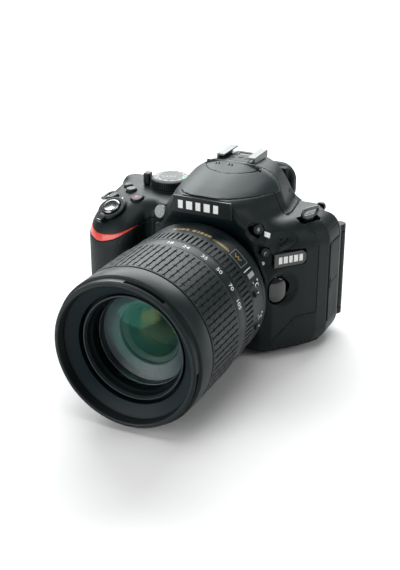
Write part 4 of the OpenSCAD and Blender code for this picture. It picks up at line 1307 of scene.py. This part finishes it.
def lug(p):
    y, z = p[:, 1], p[:, 2] - 3.7
    path = np.hypot(y - np.clip(y, -2.6, 2.6), z) - 2.55
    loop = np.hypot(np.maximum(np.abs(path) - 0.05, 0), p[:, 0]) - 0.82
    foot = block(p, (-1.1, -2.5, -3), (1.1, 2.5, 1), 0.4)
    return either(loop, foot, 0.3)


for name, place in (("lug_port_side", LUG_PORT), ("lug_grip_side", LUG_GRIP)):
    cad = ("strap_lugs",) if place is LUG_PORT else ()
    mould(name, lug, (-1.3, -6.3, -3.2), (1.3, 6.3, 7.4), 0.22, "camera", "bright_metal", SATIN, *cad,
          place=place)


def eyecup(p):
    q = p[:, [0, 2, 1]]
    form = block(q, (-17.5, 64, 24), (17.5, 84.6, 28), 1.2)
    frame_xz = polygon(q[:, 0], q[:, 1], arc(11.5, 76.6, 9, 0, 90) + arc(-11.5, 76.6, 9, 90, 180)
                       + arc(-12.5, 71.2, 8, 180, 270) + arc(12.5, 71.2, 8, 270, 360))
    form = either(form, both(frame_xz, np.abs(q[:, 2] - 30.25) - 3.25, 2.2), 1)
    form = without(form, block(q, (-11.5, 69, 20), (11.5, 82.5, 29), 2), 0.3)
    form = without(form, block(q, (-13.5, 67, 27.9), (13.5, 83.4, 40), 3), 1.0)
    for z in (30.2, 31.6):
        form = without(form, np.abs(q[:, 2] - z) - 0.12 + 100 * (form < -0.5), 0.1)
    return form


mould("eyecup_rubber", eyecup, (-20.7, 23.8, 63), (20.7, 33.7, 85.8), 0.4, "camera", "grip_rubber", SOFT,
      "eyecup")


def slider(p):
    form = block(p, (-19.4, 18.9, 74.8), (-17.2, 23.1, 78.2), 0.5)
    form = either(form, block(p, (-17.5, 19.8, 75), (-15.8, 22.2, 78)), 0.2)
    for k in range(4):
        form = without(form, block(p, (-20, 19.55 + 0.8 * k, 74), (-19.1, 19.85 + 0.8 * k, 79)), 0.1)
    return form


mould("diopter_knob", slider, (-19.6, 18.7, 74.6), (-15.6, 23.3, 78.4), 0.16, "diopter_slider",
      "control_black",
      DARK, "diopter_slider")


# ---------------------------------------------------------------- back, sides and base
def command(p):
    r, a = np.hypot(p[:, 0], p[:, 1]), np.arctan2(p[:, 1], p[:, 0])
    across = np.abs((a / (2 * math.pi) * 36 + 0.5) % 1 - 0.5) * 2 * math.pi * 9 / 36
    rib = 0.5 * ramp(across, 0.42, 0.2) * ramp(p[:, 2], 0.3, 0.6) * ramp(p[:, 2], 5.7, 5.4)
    return both(r - 9 + rib, np.abs(p[:, 2] - 3) - 3, 0.4)


mould("command_wheel", command, (-9.2, -9.2, -0.2), (9.2, 9.2, 6.2), 0.24, "command_dial", "dial_rubber",
      SOFT,
      "command_dial", place=(COMMAND, (0, 0, 0)), sharp=45)


def selector(p):
    r = np.hypot(p[:, 0], p[:, 1])
    form = both(r - 9.3, np.abs(p[:, 2] - 1.45) - 0.75 - 0.06 * (r - 6), 0.4)
    form = either(form, rod(p, 6, -1.6, 1.4))
    return without(form, rod(p, 3.9, -5, 9), 0.4)


mould("selector_ring", selector, (-9.5, -9.5, -1.8), (9.5, 9.5, 2.6), 0.25, "multi_selector",
      "control_black", DARK,
      "multi_selector", place=SELECTOR)
lathe("ok_cap", [(0, 1.8), (2.6, 1.85), (3.5, 1.6), (3.5, -1), (0, -1)], SELECTOR, "ok_button",
      "control_black", MID,
      "ok_button", soft=0.3, columns=48)
parts = [stamp([[(0, 7.9), (-0.7, 6.9), (0.7, 6.9)]],
               lambda q, t=t: in_frame(SELECTOR)(q @ rotation((0, 0, t)).T), 2.29,
               2.0) for t in (0, 90, 180, 270)]
marks("selector_marks", parts, "multi_selector", PRINT)


def monitor(p):
    q = p[:, [0, 2, 1]]
    form = block(q, (-30, 6, 18.5), (45.6, 61.5, 25.5), 1.6)
    form = both(form, polygon(q[:, 0], q[:, 1], arc(41.6, 57.5, 4, 0, 90) + arc(-26, 57.5, 4, 90, 180)
                              + arc(-26, 10, 4, 180, 270) + arc(41.6, 10, 4, 270, 360)), 1.2)
    form = without(form, block(q, (-26, 10, 24.9), (41.6, 57.5, 27), 0.4), 0.2)
    form = without(form, block(q, (-32, 30, 20.4), (-28.8, 38, 23.6), 0.8), 0.4)
    return np.maximum(form, -rod(p[:, [1, 2, 0]] - np.array([22, 34, 0]), 2.05, 42.5, 50))


def monitor_glass(p):
    return block(p[:, [0, 2, 1]], (-25.8, 10.2, 24.7), (41.4, 57.3, 25.35), 0.3)


def hinge(p):
    q = p - np.array([HINGE[0], HINGE[1], 0])
    form = rod(q, 3.2, 12, 56, 0.3)
    form = either(form, block(p, (46, 19.2, 20), (HINGE[0], 24.8, 48), 0.5), 0.4)
    form = either(form, rod(p[:, [1, 2, 0]] - np.array([22, 34, 0]), 2.0, 42.6, 48.6))
    for z in (19, 49):
        form = without(form, np.maximum(rod(q, 4, z - 0.15, z + 0.15), -rod(q, 3.0, 0, 70)))
    return np.maximum(form, -either(rod(q, 1.37, 10, 16), rod(q, 1.37, 52, 60)))


mould("monitor_case", monitor, (-30.2, 18.3, 5.8), (45.8, 25.7, 61.7), 0.5, "monitor", "monitor_case", BODY,
      "monitor_panel")
mould("monitor_glass", monitor_glass, (-26, 24.6, 10), (41.6, 25.5, 57.5), 0.5, "monitor", "gloss_black",
      GLOSS)
mould("monitor_hinge_block", hinge, (42.4, 18.6, 11.8), (53, 25.4, 56.2), 0.3, "monitor", "monitor_case",
      BODY,
      "monitor_hinge")


def card_door(p):
    outer = body(p)
    form = both(np.maximum(outer, -(outer + 1.7)), block(p, (GRIP_X - 2, -14, 16), (GRIP_X + 2, 8.6, 50),
                                                         1.0), 0.3)
    grips = np.minimum.reduce([block(p, (-80, -12 + 1.1 * k, 24),
                                     (-60, -11.6 + 1.1 * k, 42)) for k in range(4)])
    form = without(form, np.maximum(grips, -(outer + 0.35)), 0.1)
    return either(form, rod(p - np.array([GRIP_X + 0.9, 9, 0]), 0.85, 17, 49))


def port_door(p):
    outer = body(p)
    form = both(np.maximum(outer, -(outer + 1.4)), block(p, (SIDE_X - 1.5, -3.5, 14), (SIDE_X + 2, 10, 58),
                                                         1.0), 0.3)
    thumb = block(p, (SIDE_X - 0.5, -2.8, 33), (SIDE_X + 2, -1.8, 39), 0.4)
    line = np.abs(p[:, 2] - 36) - 0.15
    return without(without(form, thumb, 0.2), np.maximum(line, -(outer + 0.25)))


def battery_lid(p):
    form = both(body(p) + 1.3, np.abs(p[:, 2] - 1.4) - 1.1, 0.3)
    form = both(form, np.maximum(p[:, 0] + 53.6, p[:, 1] - 8.9), 0.3)
    form = np.maximum(form, -block(p, (-54.4, -24.8, -1), (-50, -0.2, 4)))
    latch = block(p, (-66, 2.5, -1), (-60, 6, 0.8), 0.6)
    form = without(form, latch, 0.2)
    form = either(form, block(p, (-65, 3, 0.4), (-61, 5.4, 1.6), 0.3))
    for y in (-29.9, -0.1):
        q = local(p, ((-53, y, 1.4), (-90, 0, 0)))
        form = either(form, rod(q, 1.1, 0, 5, 0.2), 0.1)
    return form


mould("card_door_skin", card_door, (-75.6, -14.4, 15.8), (-72.8, 10.4, 50.4), 0.3, "card_door", "shell",
      BODY,
      "card_door")
mould("port_door_skin", port_door, (52.2, -4, 13.8), (54.6, 10.4, 58.4), 0.3, "port_cover", "grip_rubber",
      SOFT,
      "port_cover")
mould("battery_lid", battery_lid, (-76, -42, 0), (-51.6, 9.2, 2.9), 0.35, "battery_door", "shell", BODY,
      "battery_door")


def screw(p):
    form = without(rod(p, 1.6, 0.25, 1.6, 0.3), block(p, (-1.1, -0.2, -1), (1.1, 0.2, 0.8)))
    return without(form, block(p, (-0.2, -1.1, -1), (0.2, 1.1, 0.8)))


head = contour(screw, (-1.7, -1.7, 0.1), (1.7, 1.7, 1.7), 0.12 * COARSE)
parts = [(head[0] + np.array([x, y, 0]), head[1].tolist()) for x, y in SCREWS]
add(new_mesh("base_screws", *join(parts)), "base_screws", "camera", "bright_metal", SATIN)
button("rear_info", ((-40.0, BACK_Y, 25.5), (-90, 0, 0), 2.6), 0.9, DARK, rides="camera")
button("exposure_lock", ((-31.5, BACK_Y, 67.6), (-90, 0, 0), 2.6), 0.9, DARK, rides="camera")


def name_plate(p):
    q = p[:, [0, 2, 1]]
    form = polygon(q[:, 0], q[:, 1], [(16.4, 78.3), (15.6, 87), (-15.6, 87), (-16.4, 78.3)])
    return both(form, np.abs(q[:, 2] + 43.4) - 0.55, 0.25)


mould("name_plate_gloss", name_plate, (-16.6, -44.1, 78), (16.6, -42.6, 87.2), 0.25, "camera",
      "gloss_black", PLATE,
      "name_plate")
front = ((-1.9, -43.95, 82.8), (90, 0, 0))
emblem = [bar(-9.6 + 4.8 * i, 0, 2.6 + 0.7 * (i % 2), 4.2) for i in range(5)]
marks("plate_bars", [stamp(emblem, in_frame(front), 0.03, -0.1)], "camera", PRINT)


def badge(p):
    return both(block(p, (-9.2, -3.8, -1), (9.2, 3.8, 0.85), 0.3),
                polygon(p[:, 0], p[:, 1], [(-9.2, -3.8)] + arc(5.6, -0.2, 3.6, -90, 0) + arc(5.6, 0.2, 3.6,
                                                                                             0, 90)
                        + [(-9.2, 3.8)]), 0.3)


mould("badge_block", badge, (-9.4, -4, -0.8), (9.4, 4, 1.1), 0.25, "camera", "gloss_black", GLOSS,
      "badge_plate",
      place=BADGE)
cells = [bar(-5.6 + 2.9 * i, 0, 1.9 + 0.4 * (i % 2), 3.6) for i in range(5)]
marks("badge_bars", [stamp(cells, in_frame(BADGE), 0.9, 0.7)], "camera", PRINT)

dot = ((28.1, -32.0, 53.8), (90, 0, 36))
marks("release_dot", [stamp([disc(0, 0, 1.0)], on_skin(dot), 0.06)], "camera", PRINT)
icon = ((28.4, -29.5, 68.1), (80, 8, 38))
marks("side_icon", [stamp([bar(0, 0, 3.6, 2.6, -12)], on_skin(icon), 0.06)], "camera", PRINT)
marks("side_icon_cells", [stamp([bar(-0.9 + 0.9 * i, 0, 0.45, 1.3, -12) for i in range(3)], on_skin(icon),
                                0.1, 0.0)],
      "camera", VOID)

# ---------------------------------------------------------------- CAD pieces that are kept
KEPT = {"lens_mount": SATIN, "lens_bayonet": SATIN, "mirror_box": INNER, "reflex_mirror": MIRROR,
        "focusing_screen": WINDOW, "pentamirror": MID, "eyepiece_lens": COAT_TEAL, "shutter_unit": BLADE,
        "image_sensor": COAT_BLUE, "main_board": BOARD, "battery": CELL, "memory_card": CARD,
        "tripod_socket": STEEL, "rear_element": COAT_VIOLET, "aperture_unit": BLADE}
for node, coat in KEPT.items():
    kept = bpy.data.objects[node]
    kept.data.materials.clear()
    kept.data.materials.append(coat)

# ---------------------------------------------------------------- stage
floor = bpy.data.objects.new("floor", new_mesh("floor", [(-6000, -6000, 0), (6000, -6000, 0), (6000, 6000,
                                                                                               0),
                                                        (-6000, 6000, 0)], [[0, 1, 2, 3]]))
bpy.context.scene.collection.objects.link(floor)
floor_paint = material("floor_paint", (0.9, 0.9, 0.9), 0.9, stain=0.01)
floor.data.materials.append(floor_paint)
floor.location.z = -0.0002


def area_light(name, place, target, size, power, colour=(1, 1, 1), shape="RECTANGLE"):
    light = bpy.data.lights.new(name, "AREA")
    light.shape = shape
    light.size, light.size_y = size
    light.energy = power
    light.color = colour
    thing = bpy.data.objects.new(name, light)
    thing.location = place
    thing.rotation_euler = (Vector(target) - Vector(place)).to_track_quat("-Z", "Y").to_euler()
    bpy.context.scene.collection.objects.link(thing)


area_light("back_box", (-0.55, 1.15, 0.95), (0, -0.02, 0.05), (1.9, 1.1), 46, (0.97, 1, 1))
area_light("front_box", (-0.62, -1.2, 0.40), (0, -0.11, 0.04), (1.5, 0.9), 14, shape="ELLIPSE")
area_light("side_box", (1.5, 0.25, 0.75), (0, 0, 0.05), (0.6, 0.8), 6)
area_light("overhead", (0.1, -0.2, 1.9), (0, 0, 0), (1.2, 1.2), 14)

world = bpy.data.worlds.new("studio")
world.use_nodes = True
world.node_tree.nodes["Background"].inputs["Color"].default_value = (1, 1, 1, 1)
world.node_tree.nodes["Background"].inputs["Strength"].default_value = 0.18
bpy.context.scene.world = world
bpy.context.scene.view_settings.view_transform = "Standard"

camera = bpy.data.objects.new("view", bpy.data.cameras.new("view"))
camera.data.lens = 69.3
camera.data.sensor_width = 36
camera.location = (0.2190, -0.4979, 0.2714)
back = Vector((0.3963, -0.8187, 0.4156))
camera.rotation_euler = back.to_track_quat("Z", "Y").to_euler()
bpy.context.scene.collection.objects.link(camera)
bpy.context.scene.camera = camera
